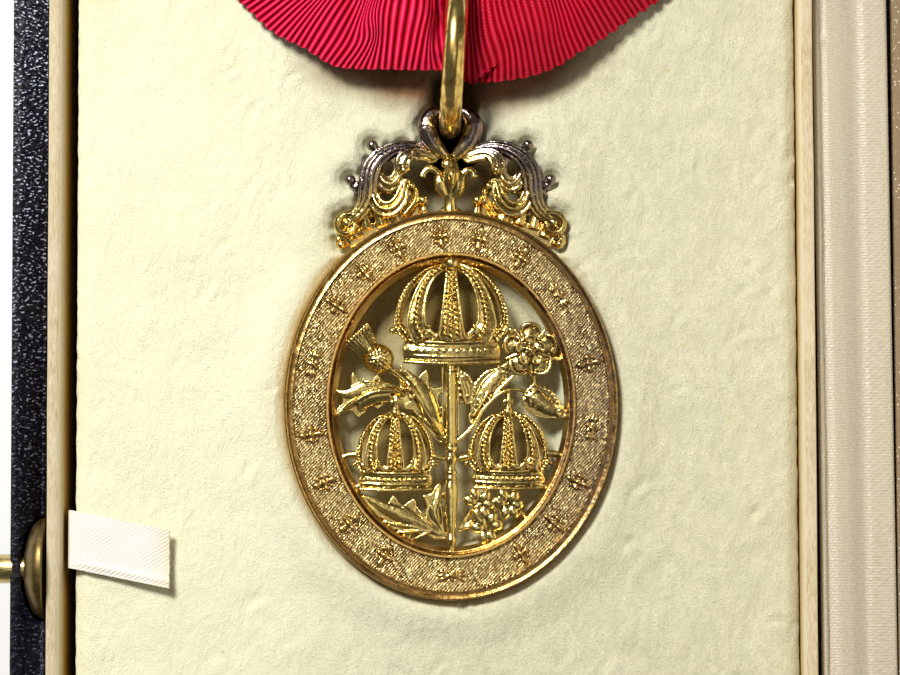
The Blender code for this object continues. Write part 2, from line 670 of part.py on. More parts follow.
def ribbon_sections(end):
    """Each section of one half as a row of (out, y) from its low edge to its high edge."""
    beside = RING_WIRE / 2 + RIBBON_RING_CLEAR
    low, high = RIBBON_IN_RING["low"] * RING_INNER, RIBBON_IN_RING["high"] * RING_INNER
    edges = [((0.0, low), (0.0, high)), ((beside, low), (beside, high))]
    for row in RIBBON_SECTIONS:
        edges.append(((row["low_out"] * RIBBON_REACH, row["low"] * (end - RING_Y)),
                      (row["high_out"] * RIBBON_REACH, row["high"] * (end - RING_Y))))
    for first, last in edges:
        first, last = Vector(first), Vector(last)
        spots = [first.lerp(last, bay / RIBBON_BAYS) for bay in range(RIBBON_BAYS + 1)]
        yield [(spot.x, RING_Y + spot.y) for spot in spots]


def ribbon():
    """The ribbon lies through the ring, spreads both ways over the pad and is tucked in at its end."""
    end = PAD_HIGH_END + (PAD_GAP_TOP + RIBBON_THICK) / 2
    behind = end - RIBBON_THICK
    low_z = PAD_TOP + CLEAR
    half = list(ribbon_sections(end))
    rows = [[(RING_X - out, y) for out, y in row] for row in reversed(half)]
    rows += [[(RING_X + out, y) for out, y in row] for row in half[1:]]
    bm = bmesh.new()

    def section(row, upper_y, upper_z, lower_y, lower_z):
        upper = [bm.verts.new((x, upper_y(y), upper_z)) for x, y in row]
        lower = [bm.verts.new((x, lower_y(y), lower_z)) for x, y in reversed(row)]
        return upper + lower

    tucked = (lambda y: end, low_z - RIBBON_TUCK, lambda y: behind, low_z - RIBBON_TUCK)
    rings = [section(rows[0], *tucked)]
    for row in rows:
        rings.append(section(row, lambda y: y, low_z + RIBBON_THICK, lambda y: min(y, behind), low_z))
    rings.append(section(rows[-1], *tucked))
    skin(bm, rings)
    return finish("ribbon", bm, "crimson_silk")


# Lid, modelled shut, in its axis's own frame


def lid_block(low, high):
    return block(Vector(low) - AXIS, Vector(high) - AXIS)


def lid_shell(hinge):
    bm = lid_block((-HALF_WIDTH, -HALF_LENGTH, LID_RIM_Z), (HALF_WIDTH, HALF_LENGTH, LID_TOP_Z))
    bevel_edges(bm, upright, CASE_ROUND)
    top = LID_TOP_Z - AXIS.z
    bevel_edges(bm, lambda edge: all(vert.co.z > top - CLEAR for vert in edge.verts), CASE_ROUND)
    shell = finish("lid_shell", bm, "leathercloth", hinge)
    hollow = lid_block((-TRAY_X, -TRAY_Y, LID_RIM_Z - WALL), (TRAY_X, TRAY_Y, LID_PANEL_Z))
    combine(shell, finish("lid_hollow_cutter", hollow, None, hinge), "DIFFERENCE")
    satin_end = TRAY_Y - SATIN_END + CLEAR
    rebate = lid_block((TRAY_X - WALL, -satin_end, LID_RIM_Z - WALL),
                       (TRAY_X + REBATE, satin_end, LID_RIM_Z + SATIN_LID_WIDTH + CLEAR))
    combine(shell, finish("lid_rebate_cutter", rebate, None, hinge), "DIFFERENCE")
    combine(shell, pocket_for_disc("lid_pocket_cutter", hinge, AXIS), "DIFFERENCE")
    for number, place in enumerate(HINGE_PLACES, 1):
        for part, tool in enumerate(hinge_seat(place, 1)):
            bmesh.ops.translate(tool, verts=tool.verts, vec=-AXIS)
            combine(shell, finish(f"lid_seat_cutter_{number}_{part}", tool, None, hinge),
                    "DIFFERENCE")
    return shell


def lid_satin(hinge):
    end = TRAY_Y - SATIN_END
    low = LID_RIM_Z
    bm = lid_block((TRAY_X, -end, low), (TRAY_X + SATIN_THICK, end, low + SATIN_LID_WIDTH))
    return finish("lid_satin", bm, "satin", hinge)


def lid_lining(hinge):
    """The padded satin inside the lid: flat against the panel, domed a little towards the badge."""
    half_x, half_y = TRAY_X - CLEAR, TRAY_Y - CLEAR
    bm = bmesh.new()
    matrix = Matrix.Translation(Vector((0.0, 0.0, LINING_Z)) - AXIS)
    bmesh.ops.create_grid(bm, x_segments=LINING_CELLS[0], y_segments=LINING_CELLS[1], size=1.0,
                          matrix=matrix @ Matrix.Diagonal((half_x, half_y, 1.0, 1.0)))
    grown = bmesh.ops.extrude_face_region(bm, geom=list(bm.faces))
    lifted = [item for item in grown["geom"] if isinstance(item, bmesh.types.BMVert)]
    bmesh.ops.translate(bm, verts=lifted, vec=(0.0, 0.0, LINING_THICK))
    lower = LINING_Z - AXIS.z + CLEAR
    for vert in bm.verts:
        if vert.co.z < lower:
            across = ((vert.co.x + AXIS.x) / half_x) ** LINING_FLATNESS
            along = (vert.co.y / half_y) ** LINING_FLATNESS
            vert.co.z -= LINING_PUFF * (1 - across) * (1 - along)
    return finish("lid_lining", bm, "satin", hinge)


# Hinges


def hinge_seat(place, side):
    """Cutters for one hinge: side -1 is the tray's back edge, side 1 the lid's."""
    half = HINGE_LENGTH / 2 + CLEAR
    notch = drum(AXIS, NOTCH_RADIUS, place - half, place + half, axis="Y", segments=24)
    deep = HALF_WIDTH - HINGE_LEAF_THICK - CLEAR
    reach = HINGE_LEAF_HEIGHT + CLEAR
    low = AXIS.z - reach if side < 0 else AXIS.z
    high = AXIS.z if side < 0 else AXIS.z + reach
    return notch, block((deep, place - half, low), (HALF_WIDTH + WALL, place + half, high))


def hinge_leaf(name, place, side, parent=None):
    """A leaf let into the back. The tray's has the two outer knuckles, the lid's the middle one."""
    shift = AXIS if parent else Vector((0.0, 0.0, 0.0))
    knuckle = HINGE_LENGTH / 3
    half = HINGE_LENGTH / 2
    inner = HALF_WIDTH - HINGE_LEAF_THICK
    near = AXIS.z + side * NOTCH_RADIUS
    far = AXIS.z + side * HINGE_LEAF_HEIGHT
    plate = block(Vector((inner, place - half, min(near, far))) - shift,
                  Vector((HALF_WIDTH, place + half, max(near, far))) - shift)
    leaf = finish(name, plate, "brass", parent)
    reach = near + side * CLEAR
    gap = 0.0 if side < 0 else CLEAR
    for number in (0, 2) if side < 0 else (1,):
        start = place - half + number * knuckle + gap
        end = place - half + (number + 1) * knuckle - gap
        web = block(Vector((inner, start, min(AXIS.z, reach))) - shift,
                    Vector((HALF_WIDTH, end, max(AXIS.z, reach))) - shift)
        combine(leaf, finish(f"{name}_web_{number}", web, None, parent), "UNION")
        barrel = drum(AXIS - shift, KNUCKLE_RADIUS, start, end, axis="Y", segments=20)
        combine(leaf, finish(f"{name}_knuckle_{number}", barrel, None, parent), "UNION")
    bore = drum(AXIS - shift, PIN_RADIUS + CLEAR, place - HINGE_LENGTH, place + HINGE_LENGTH,
                axis="Y", segments=16)
    combine(leaf, finish(f"{name}_bore", bore, None, parent), "DIFFERENCE")
    return leaf


def hinge_pin(name, place):
    half = HINGE_LENGTH / 2
    return finish(name, drum(AXIS, PIN_RADIUS, place - half, place + half, axis="Y", segments=12),
                  "brass")


def build():
    clear_scene()
    case_base()
    liner()
    pad()
    satin_strip()
    push_button()
    lift_tab()
    badge = frame()
    crest(badge)
    centre(badge)
    suspension_ring()
    ribbon()
    hinge = bpy.data.objects.new("lid_axis", None)
    bpy.context.scene.collection.objects.link(hinge)
    hinge.location = AXIS
    hinge.rotation_euler.y = math.radians(LID_OPEN)
    lid_shell(hinge)
    lid_lining(hinge)
    lid_satin(hinge)
    for number, place in enumerate(HINGE_PLACES, 1):
        hinge_leaf(f"hinge_base_{number}", place, -1)
        hinge_leaf(f"hinge_lid_{number}", place, 1, hinge)
        hinge_pin(f"hinge_pin_{number}", place)


build()
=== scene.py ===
"""An oval gilt order badge on its ring and crimson ribbon, lying in its open velvet-lined case."""

import json
from math import asin, atan2, copysign, cos, degrees, dist, exp, hypot, pi, radians, sin, sqrt, tan
import random

import bmesh
import bpy
from mathutils import Matrix, Vector, noise


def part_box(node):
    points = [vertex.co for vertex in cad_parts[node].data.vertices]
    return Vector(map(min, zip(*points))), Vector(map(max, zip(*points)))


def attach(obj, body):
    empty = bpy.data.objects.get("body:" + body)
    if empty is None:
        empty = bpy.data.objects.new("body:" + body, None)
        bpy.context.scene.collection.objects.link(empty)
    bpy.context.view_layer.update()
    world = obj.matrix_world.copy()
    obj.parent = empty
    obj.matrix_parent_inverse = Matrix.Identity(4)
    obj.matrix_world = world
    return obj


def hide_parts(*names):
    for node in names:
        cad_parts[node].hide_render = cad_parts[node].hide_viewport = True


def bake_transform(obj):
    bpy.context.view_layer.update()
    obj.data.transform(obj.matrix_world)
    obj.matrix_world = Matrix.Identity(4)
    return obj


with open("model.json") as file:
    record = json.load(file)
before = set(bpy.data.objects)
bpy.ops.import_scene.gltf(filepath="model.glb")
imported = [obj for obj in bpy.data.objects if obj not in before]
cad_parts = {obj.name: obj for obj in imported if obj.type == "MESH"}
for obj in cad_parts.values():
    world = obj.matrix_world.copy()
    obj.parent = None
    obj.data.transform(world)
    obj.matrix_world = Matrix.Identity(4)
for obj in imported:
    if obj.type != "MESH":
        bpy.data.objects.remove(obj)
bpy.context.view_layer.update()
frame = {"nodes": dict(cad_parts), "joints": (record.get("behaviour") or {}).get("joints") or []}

MM = 0.001
UP = Vector((0.0, 0.0, 1.0))
# Points nearer to each other than this are one point.
DOUBLES = 1e-6

# Camera, fitted to the lines of the case and the oval of the badge
VIEW_CENTRE = Vector((2.216, 27.411, 16.6)) * MM
VIEW_DISTANCE = 400.0 * MM
VIEW_TILT = radians(3.907)
VIEW_ROLL = radians(-0.145)
SENSOR = 36.0
FOCAL_PIXELS = 3350.65
IMAGE_WIDTH = 900

# Places read from the frame
BADGE_LOW, BADGE_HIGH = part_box("badge")
RING_LOW, RING_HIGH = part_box("suspension_ring")
PAD_LOW, PAD_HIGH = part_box("pad")
LINER_LOW, LINER_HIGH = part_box("liner")
BASE_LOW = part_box("case_base")[0]
BUTTON_LOW, BUTTON_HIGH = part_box("push_button")
AXIS = Vector(frame["joints"][0]["pos_m"])
# The open lid leans this much out of the upright.
LID_LEAN = tan(radians(3.0))

# Badge
OVAL_HEIGHT = 46.6 * MM
OVAL_A = (BADGE_HIGH.x - BADGE_LOW.x) / 2
OVAL_B = OVAL_HEIGHT / 2
MIDDLE = Vector(((BADGE_LOW.x + BADGE_HIGH.x) / 2, BADGE_LOW.y + OVAL_B, BADGE_LOW.z))

# Case
LINER_THICK = 1.7 * MM
SATIN_HALF_LENGTH = 72.3 * MM
TRAY_HALF_WIDTH = 46.1 * MM
LEDGE_Z = 15.2 * MM


# Hand tools


def let_go():
    """Back to object mode, with nothing selected."""
    if bpy.context.mode != "OBJECT":
        bpy.ops.object.mode_set(mode="OBJECT")
    bpy.ops.object.select_all(action="DESELECT")


def take(*pieces):
    """Select these pieces and no others; the first is the one that tools work on."""
    let_go()
    for piece in pieces:
        piece.select_set(True)
    bpy.context.view_layer.objects.active = pieces[0]
    return pieces[0]


def added(name):
    """Name the piece that was just added."""
    piece = bpy.context.active_object
    piece.name = name
    return piece


def open_up(piece):
    take(piece)
    bpy.ops.object.mode_set(mode="EDIT")
    bpy.ops.mesh.select_all(action="DESELECT")


def pick_all():
    bpy.ops.mesh.select_all(action="SELECT")


def close_up():
    bpy.ops.object.mode_set(mode="OBJECT")


def draw_out(*way):
    """Extrude what is selected."""
    bpy.ops.mesh.extrude_region_move(TRANSFORM_OT_translate={"value": way})


def pick(piece, kind, test):
    """In edit mode, select the FACEs, EDGEs or VERTs that pass a test, and nothing else."""
    bpy.ops.mesh.select_mode(type=kind)
    bpy.ops.mesh.select_all(action="DESELECT")
    cage = bmesh.from_edit_mesh(piece.data)
    for item in {"FACE": cage.faces, "EDGE": cage.edges, "VERT": cage.verts}[kind]:
        item.select_set(test(item))
    cage.select_flush_mode()
    bmesh.update_edit_mesh(piece.data)


def modify(piece, kind, **settings):
    """Add a modifier and apply it."""
    take(piece)
    step = piece.modifiers.new(kind.lower(), kind)
    for setting, value in settings.items():
        setattr(step, setting, value)
    bpy.ops.object.modifier_apply(modifier=step.name)


def settle(piece):
    """Put the piece's place into its mesh, merge its doubles and turn its faces outwards."""
    take(piece)
    bpy.ops.object.transform_apply()
    bpy.ops.object.mode_set(mode="EDIT")
    pick_all()
    bpy.ops.mesh.remove_doubles(threshold=DOUBLES)
    bpy.ops.mesh.normals_make_consistent(inside=False)
    close_up()
    return piece


def smooth(piece, angle=40.0):
    take(piece)
    bpy.ops.object.shade_smooth_by_angle(angle=radians(angle))


def weld(name, pieces):
    """Join pieces into one."""
    take(*pieces)
    if len(pieces) > 1:
        bpy.ops.object.join()
    pieces[0].name = name
    return pieces[0]


def sculpt(piece, move):
    """Press and pull each point of a piece to where move says."""
    for vert in piece.data.vertices:
        vert.co = move(vert.co)


def whole_faces(piece):
    """Merge the doubles, and make one face of all that lie in one plane."""
    open_up(piece)
    pick_all()
    bpy.ops.mesh.remove_doubles(threshold=DOUBLES)
    bpy.ops.mesh.dissolve_limited(angle_limit=radians(0.5))
    close_up()


def cad_copy(node, name):
    """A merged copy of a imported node, its flat faces made whole."""
    piece = bpy.data.objects.new(name, frame["nodes"][node].data.copy())
    bpy.context.scene.collection.objects.link(piece)
    whole_faces(piece)
    return piece


def twin(piece):
    """A copy with its own mesh."""
    made = piece.copy()
    made.data = piece.data.copy()
    bpy.context.scene.collection.objects.link(made)
    return made


def block(name, low, high):
    """A solid box between two corners."""
    let_go()
    middle = [(near + far) / 2 for near, far in zip(low, high)]
    bpy.ops.mesh.primitive_cube_add(size=1.0, location=middle)
    piece = added(name)
    piece.scale = [far - near for near, far in zip(low, high)]
    return settle(piece)


def grid(name, columns, rows):
    """A flat sheet, one by one, to be shaped."""
    let_go()
    bpy.ops.mesh.primitive_grid_add(x_subdivisions=columns, y_subdivisions=rows, size=1.0)
    return added(name)


def combine(piece, cutter, operation):
    """Cut with, or add, another solid, and put that one away."""
    modify(piece, "BOOLEAN", operation=operation, object=cutter, solver="EXACT")
    bpy.data.objects.remove(cutter)
    return piece


def round_edges(piece, width, segments, sharp):
    """Round all edges that turn by more than this many degrees."""
    modify(piece, "BEVEL", width=width, segments=segments, limit_method="ANGLE",
           angle_limit=radians(sharp), use_clamp_overlap=True, harden_normals=False)


def chart(piece, place):
    """Mark each point with its place on the flat cloth, so that the weave keeps its size in a bend."""
    marks = [place(vert.co) for vert in piece.data.vertices]
    layer = piece.data.uv_layers.active
    for loop in piece.data.loops:
        layer.data[loop.index].uv = marks[loop.vertex_index]


def hand_over(piece, body, slot, finishes, *nodes):
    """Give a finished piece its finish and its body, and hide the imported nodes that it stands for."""
    piece.data.materials.clear()
    for finish in finishes:
        piece.data.materials.append(finish.material)
    if body:
        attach(piece, body)
    if nodes:
        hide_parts(*nodes)


def second_finish(piece, test):
    """Give the faces whose middle and direction pass a test the piece's second finish."""
    for face in piece.data.polygons:
        face.material_index = 1 if test(face.center, face.normal) else 0


def gauss(distance, width):
    return exp(-(distance / width) ** 2)


def ease(low, high, value):
    share = min(max((value - low) / (high - low), 0.0), 1.0)
    return share * share * (3 - 2 * share)


def soft_noise(x, y, size, seed=0.0):
    return noise.noise(Vector((x / size, y / size, seed)))


# Finishes


class Finish:
    """A material while it is mixed: its shader, and patterns on the piece's own coordinates."""

    def __init__(self, name, colour, roughness, **sockets):
        self.material = bpy.data.materials.new(name)
        self.material.use_nodes = True
        self.tree = self.material.node_tree
        self.shader = self.tree.nodes["Principled BSDF"]
        self.shader.inputs["Base Color"].default_value = (*colour, 1.0)
        self.shader.inputs["Roughness"].default_value = roughness
        for socket, value in sockets.items():
            self.shader.inputs[socket.replace("_", " ")].default_value = value

    def node(self, kind, **settings):
        made = self.tree.nodes.new("ShaderNode" + kind)
        for setting, value in settings.items():
            setattr(made, setting, value)
        return made

    def feed(self, source, target):
        """Wire an output, or a plain value, into a socket."""
        if isinstance(source, bpy.types.NodeSocket):
            self.tree.links.new(source, target)
        elif isinstance(source, tuple) and len(source) == 3 and target.type == "RGBA":
            target.default_value = (*source, 1.0)
        else:
            target.default_value = source

    def where(self, stretch=(1.0, 1.0, 1.0), turn=0.0, uv=False):
        """The piece's own coordinates, stretched and turned about Z."""
        coordinate = self.node("TexCoord")
        mapping = self.node("Mapping")
        mapping.inputs["Scale"].default_value = stretch
        mapping.inputs["Rotation"].default_value = (0.0, 0.0, radians(turn))
        self.feed(coordinate.outputs["UV" if uv else "Object"], mapping.inputs["Vector"])
        return mapping.outputs["Vector"]

    def axis(self, place, name):
        split = self.node("SeparateXYZ")
        self.feed(place, split.inputs["Vector"])
        return split.outputs[name]

    def pattern(self, made, where, **sockets):
        """Set a pattern's numbers and its place, and give its outputs."""
        self.feed(where or self.where(), made.inputs["Vector"])
        for socket, value in sockets.items():
            made.inputs[socket].default_value = value
        return made.outputs

    def noise(self, size, where=None, detail=3.0, roughness=0.5, warp=0.0):
        return self.pattern(self.node("TexNoise"), where, Scale=1.0 / size, Detail=detail,
                            Roughness=roughness, Distortion=warp)["Fac"]

    def cells(self, size, where=None, feature="F1"):
        return self.pattern(self.node("TexVoronoi", feature=feature), where, Scale=1.0 / size)["Distance"]

    def ribs(self, size, where=None, along="X", warp=0.0):
        """Parallel ribs, one every size."""
        wave = self.node("TexWave", bands_direction=along)
        return self.pattern(wave, where, Scale=pi / 10 / size, Distortion=warp)["Fac"]

    def sum(self, operation, first, second=0.0, third=0.0):
        made = self.node("Math", operation=operation)
        for socket, value in zip(made.inputs, (first, second, third)):
            self.feed(value, socket)
        return made.outputs["Value"]

    def plus(self, first, second):
        return self.sum("ADD", first, second)

    def times(self, first, second):
        return self.sum("MULTIPLY", first, second)

    def scale(self, value, low, high, to_low=0.0, to_high=1.0):
        made = self.node("MapRange")
        for name, number in (("Value", value), ("From Min", low), ("From Max", high),
                             ("To Min", to_low), ("To Max", to_high)):
            self.feed(number, made.inputs[name])
        return made.outputs["Result"]

    def mix(self, share, first, second, kind="MIX"):
        made = self.node("Mix", data_type="RGBA", blend_type=kind)
        colours = [socket for socket in made.inputs if socket.type == "RGBA"]
        self.feed(share, made.inputs["Factor"])
        self.feed(first, colours[0])
        self.feed(second, colours[1])
        return next(socket for socket in made.outputs if socket.type == "RGBA")

    def colour(self, source):
        self.feed(source, self.shader.inputs["Base Color"])

    def rough(self, source):
        self.feed(source, self.shader.inputs["Roughness"])

    def relief(self, height, depth, strength=1.0):
        """Bump of this depth; a second call lies over the first."""
        bump = self.node("Bump")
        bump.inputs["Strength"].default_value = strength
        bump.inputs["Distance"].default_value = depth
        self.feed(height, bump.inputs["Height"])
        normal = self.shader.inputs["Normal"]
        if normal.is_linked:
            self.feed(normal.links[0].from_socket, bump.inputs["Normal"])
        self.feed(bump.outputs["Normal"], normal)


def leathercloth():
    """Black cloth with an embossed crêpe grain. Its glints on the left ledge's top are painted highlights:
    pale specks in the colour.
    """
    made = Finish("leathercloth", (0.006, 0.006, 0.014), 0.50, Specular_IOR_Level=0.15)
    grain = made.cells(0.72 * MM, made.where((1.0, 1.35, 1.0), 12.0), "SMOOTH_F1")
    fine = made.noise(0.32 * MM, detail=2.0, warp=0.6)
    worn = made.noise(9 * MM, detail=4.0)
    made.relief(grain, 0.22 * MM, 0.9)
    made.relief(fine, 0.10 * MM, 0.7)
    made.rough(made.scale(worn, 0.3, 0.7, 0.38, 0.54))
    shade = made.mix(made.scale(grain, 0.15, 0.75), (0.006, 0.006, 0.014), (0.001, 0.001, 0.003))
    tone = made.mix(made.scale(worn, 0.58, 0.8, 0.0, 0.25), shade, (0.04, 0.035, 0.03))
    # Painted highlights: pale specks on the top of the left ledge stand in for the grain's glints.
    dots = made.noise(0.31 * MM, made.where((0.72, 1.25, 1.0), 8.0), detail=2.0, roughness=0.4,
                      warp=0.5)
    place = made.where()
    along = made.scale(made.axis(place, "Y"), 2 * MM, 56 * MM, 0.10, 0.85)
    on_top = made.scale(made.axis(place, "Z"), LEDGE_Z - 0.5 * MM, LEDGE_Z, 0.08, 1.0)
    by_catch = made.scale(made.axis(place, "X"), -45 * MM, -40 * MM, 1.0, 0.05)
    lit = made.times(along, made.times(on_top, by_catch))
    specks = made.times(made.scale(dots, 0.608, 0.655), lit)
    made.colour(made.mix(specks, tone, (0.66, 0.69, 0.88)))
    return made


def brown_cloth():
    """The inside of the lid's walls: the same cloth, brown with pale specks."""
    made = Finish("brown_cloth", (0.16, 0.10, 0.045), 0.6)
    speck = made.cells(0.5 * MM, made.where(turn=20.0))
    made.colour(made.mix(made.scale(speck, 0.12, 0.22), (0.80, 0.74, 0.62), (0.26, 0.18, 0.095)))
    made.relief(made.noise(0.4 * MM), 0.12 * MM, 0.8)
    return made


def board_edge():
    """The liner's cut edge: pressed fibres of yellowed card."""
    made = Finish("board_edge", (0.72, 0.58, 0.36), 0.85)
    fibre = made.noise(0.22 * MM, made.where((1.0, 0.16, 1.0), 3.0), detail=5.0, roughness=0.65)
    patch = made.noise(7 * MM)
    pale = made.mix(made.scale(fibre, 0.3, 0.72), (0.42, 0.30, 0.14), (0.72, 0.63, 0.44))
    made.colour(made.mix(made.scale(patch, 0.35, 0.75, 0.0, 0.5), pale, (0.74, 0.66, 0.50)))
    made.relief(fibre, 0.12 * MM, 0.7)
    return made


def liner_paper():
    """Paper down the liner's sides: cream near the top, and painted brown lower down for the shade in the
    gap beside the pad.
    """
    made = Finish("liner_paper", (0.72, 0.64, 0.46), 0.7)
    height = made.axis(made.where(), "Z")
    cloud = made.noise(5 * MM, detail=4.0)
    # Painted shade: the paper turns brown with depth, down in the gap beside the pad.
    depth = made.plus(height, made.times(cloud, 1.4 * MM))
    low = made.mix(made.scale(depth, 13.4 * MM, 17.4 * MM), (0.50, 0.28, 0.045), (0.70, 0.60, 0.40))
    made.colour(low)
    made.relief(made.noise(0.5 * MM, detail=4.0), 0.08 * MM, 0.5)
    return made


def velvet():
    """Short cream velvet, rubbed flat, with a few stains. Where it meets the badge it is painted brown for
    dirt and contact shade, and under the ribbon it is painted dark for the ribbon's shadow and red bounce
    light over a dye stain. Shade is also painted towards the right, in the oval's upper left, under the
    crowns and the crest, and deep in the slot; inside the oval the velvet is tinted greener against the
    gilt's bounce light."""
    made = Finish("velvet", (0.80, 0.78, 0.60), 0.95, Sheen_Weight=0.30, Sheen_Roughness=0.45,
                  Specular_IOR_Level=0.15)
    made.shader.inputs["Sheen Tint"].default_value = (1.0, 0.97, 0.80, 1.0)
    place = made.where()
    pile = made.noise(0.20 * MM, place, roughness=0.75)
    nap = made.noise(1.1 * MM, made.where((1.0, 0.55, 1.0), -28.0), detail=5.0, roughness=0.62)
    cloud = made.noise(14 * MM, place, detail=4.0)
    stain = made.noise(30 * MM, place, detail=2.0)
    base = made.mix(made.scale(cloud, 0.32, 0.7), (0.97, 0.955, 0.71), (0.93, 0.91, 0.65))
    base = made.mix(made.scale(stain, 0.55, 0.75, 0.0, 0.5), base, (0.84, 0.77, 0.44))
    across = made.axis(place, "X")
    up = made.axis(place, "Y")
    rubbed = made.sum("MAXIMUM", made.scale(across, -22 * MM, 25 * MM),
                      made.scale(up, -46 * MM, -14 * MM, 0.7, 0.0))
    mottle = made.noise(3.4 * MM, place, detail=6.0, roughness=0.65)
    for pattern, low, high, share, worn in ((nap, 0.42, 0.56, 0.60, (0.56, 0.54, 0.37)),
                                            (pile, 0.42, 0.56, 0.75, (0.50, 0.47, 0.33)),
                                            (mottle, 0.42, 0.58, 0.55, (0.62, 0.61, 0.42))):
        base = made.mix(made.times(made.scale(pattern, low, high, share, 0.0), rubbed), base, worn)
    # Painted shade: the velvet darkens towards the right, where the key lamp's light falls off.
    base = made.mix(made.scale(across, -22 * MM, 22 * MM, 0.0, 0.55), base, (0.755, 0.72, 0.525))
    fleck = made.cells(6.5 * MM, place)
    base = made.mix(made.scale(fleck, 0.012, 0.045, 0.55, 0.0), base, (0.62, 0.44, 0.10))

    def reach(x, y, half, tall):
        """How far a place lies from an oval's middle: 1 on the oval."""
        oval = made.node("Mapping")
        oval.inputs["Location"].default_value = (-x / half, -y / tall, 0.0)
        oval.inputs["Scale"].default_value = (1 / half, 1 / tall, 0.0)
        made.feed(place, oval.inputs["Vector"])
        length = made.node("VectorMath", operation="LENGTH")
        made.feed(oval.outputs["Vector"], length.inputs[0])
        return length.outputs["Value"]

    badge_reach = reach(MIDDLE.x, MIDDLE.y, OVAL_A, OVAL_B)
    # Painted light: inside the oval the velvet is tinted greener, against the warm light bounced from the
    # gilt.
    inside = made.scale(badge_reach, 0.78, 0.84, 1.0, 0.0)
    base = made.mix(made.times(inside, 0.8), base, (0.86, 0.95, 0.72))
    # Painted shadow: the frame's shadow on the velvet in the upper left of the oval.
    painted_frame_shadow = made.scale(made.sum("SUBTRACT", up, across), 26 * MM, 38 * MM, 0.0, 0.88)
    base = made.mix(made.times(inside, painted_frame_shadow), base, (0.16, 0.10, 0.03))
    # Painted shade: dark velvet under each crown's dome, seen through its arches.
    for plan in CROWNS:
        dome = reach(MIDDLE.x + plan["x"] * MM,
                     MIDDLE.y + (plan["foot"] + plan["band_tall"] + 0.42 * plan["dome_tall"]) * MM,
                     (plan["dome_half"] - 0.2) * MM, 0.60 * plan["dome_tall"] * MM)
        base = made.mix(made.scale(dome, 0.84, 1.0, 0.97, 0.0), base, (0.045, 0.022, 0.006))
    # Painted shade behind the crest's middle openings.
    painted_crest_shade = reach(MIDDLE.x + 0.5 * MM, MIDDLE.y + 27.8 * MM, 5.2 * MM, 3.0 * MM)
    base = made.mix(made.scale(painted_crest_shade, 0.7, 1.1, 0.92, 0.0), base, (0.10, 0.055, 0.02))
    # Dirt and painted contact shade: a brown fringe round the badge's oval, weaker on the right.
    fuzzy = made.plus(badge_reach, made.times(nap, 0.035))
    dirt_and_contact_shade = made.times(made.scale(fuzzy, 1.010, 1.062, 0.65, 0.0),
                      made.scale(across, 4 * MM, 20 * MM, 1.0, 0.35))
    base = made.mix(dirt_and_contact_shade, base, (0.46, 0.33, 0.10))
    # Painted shadow and red bounce light under the lifted ribbon and the ring, over a dye stain.
    ribbon_shadow_and_dye = made.plus(reach(2.8 * MM, 62.5 * MM, 19.0 * MM, 8.2 * MM), made.times(cloud, 0.35))
    base = made.mix(made.scale(ribbon_shadow_and_dye, 0.90, 1.26, 0.93, 0.0), base, (0.22, 0.085, 0.028))
    # Painted shade: the velvet deep down in the slot and the crest's hollow is brown.
    deep = made.scale(made.axis(place, "Z"), 7.5 * MM, 11.0 * MM, 0.85, 0.0)
    made.colour(made.mix(deep, base, (0.22, 0.14, 0.04)))
    made.relief(nap, 0.40 * MM, 0.8)
    made.relief(pile, 0.20 * MM)
    return made


def satin_cloth():
    """Cream satin: a weft rib and a faint twill over a soft sheen. V runs along the cloth."""
    made = Finish("satin_cloth", (0.80, 0.74, 0.62), 0.42, Sheen_Weight=0.25,
                  Anisotropic=0.35, Specular_IOR_Level=0.55)
    weft = made.ribs(0.34 * MM, made.where(uv=True), "Y", 0.8)
    twill = made.ribs(0.50 * MM, made.where(turn=38.0, uv=True), "X", 0.6)
    slub = made.noise(0.55 * MM, made.where((1.0, 2.2, 1.0), uv=True))
    age = made.noise(16 * MM)
    fresh = made.mix(made.scale(slub, 0.35, 0.7), (0.475, 0.41, 0.305), (0.605, 0.55, 0.46))
    made.colour(made.mix(made.scale(age, 0.4, 0.75, 0.0, 0.5), fresh, (0.56, 0.49, 0.36)))
    made.rough(made.scale(slub, 0.3, 0.7, 0.55, 0.32))
    made.relief(weft, 0.035 * MM, 0.5)
    made.relief(twill, 0.030 * MM, 0.45)
    made.relief(slub, 0.10 * MM, 0.5)
    return made


def padded_satin():
    """The same cream satin, stretched over the lid's padding."""
    made = Finish("padded_satin", (0.82, 0.77, 0.66), 0.40, Sheen_Weight=0.3, Anisotropic=0.4,
                  Specular_IOR_Level=0.55)
    weave = made.ribs(0.30 * MM, made.where(), "Y", 0.6)
    age = made.noise(22 * MM)
    made.colour(made.mix(made.scale(age, 0.35, 0.75), (0.84, 0.79, 0.68), (0.76, 0.68, 0.52)))
    made.relief(weave, 0.03 * MM, 0.5)
    made.relief(made.noise(1.2 * MM, made.where((1.0, 0.3, 0.3))), 0.12 * MM, 0.35)
    return made


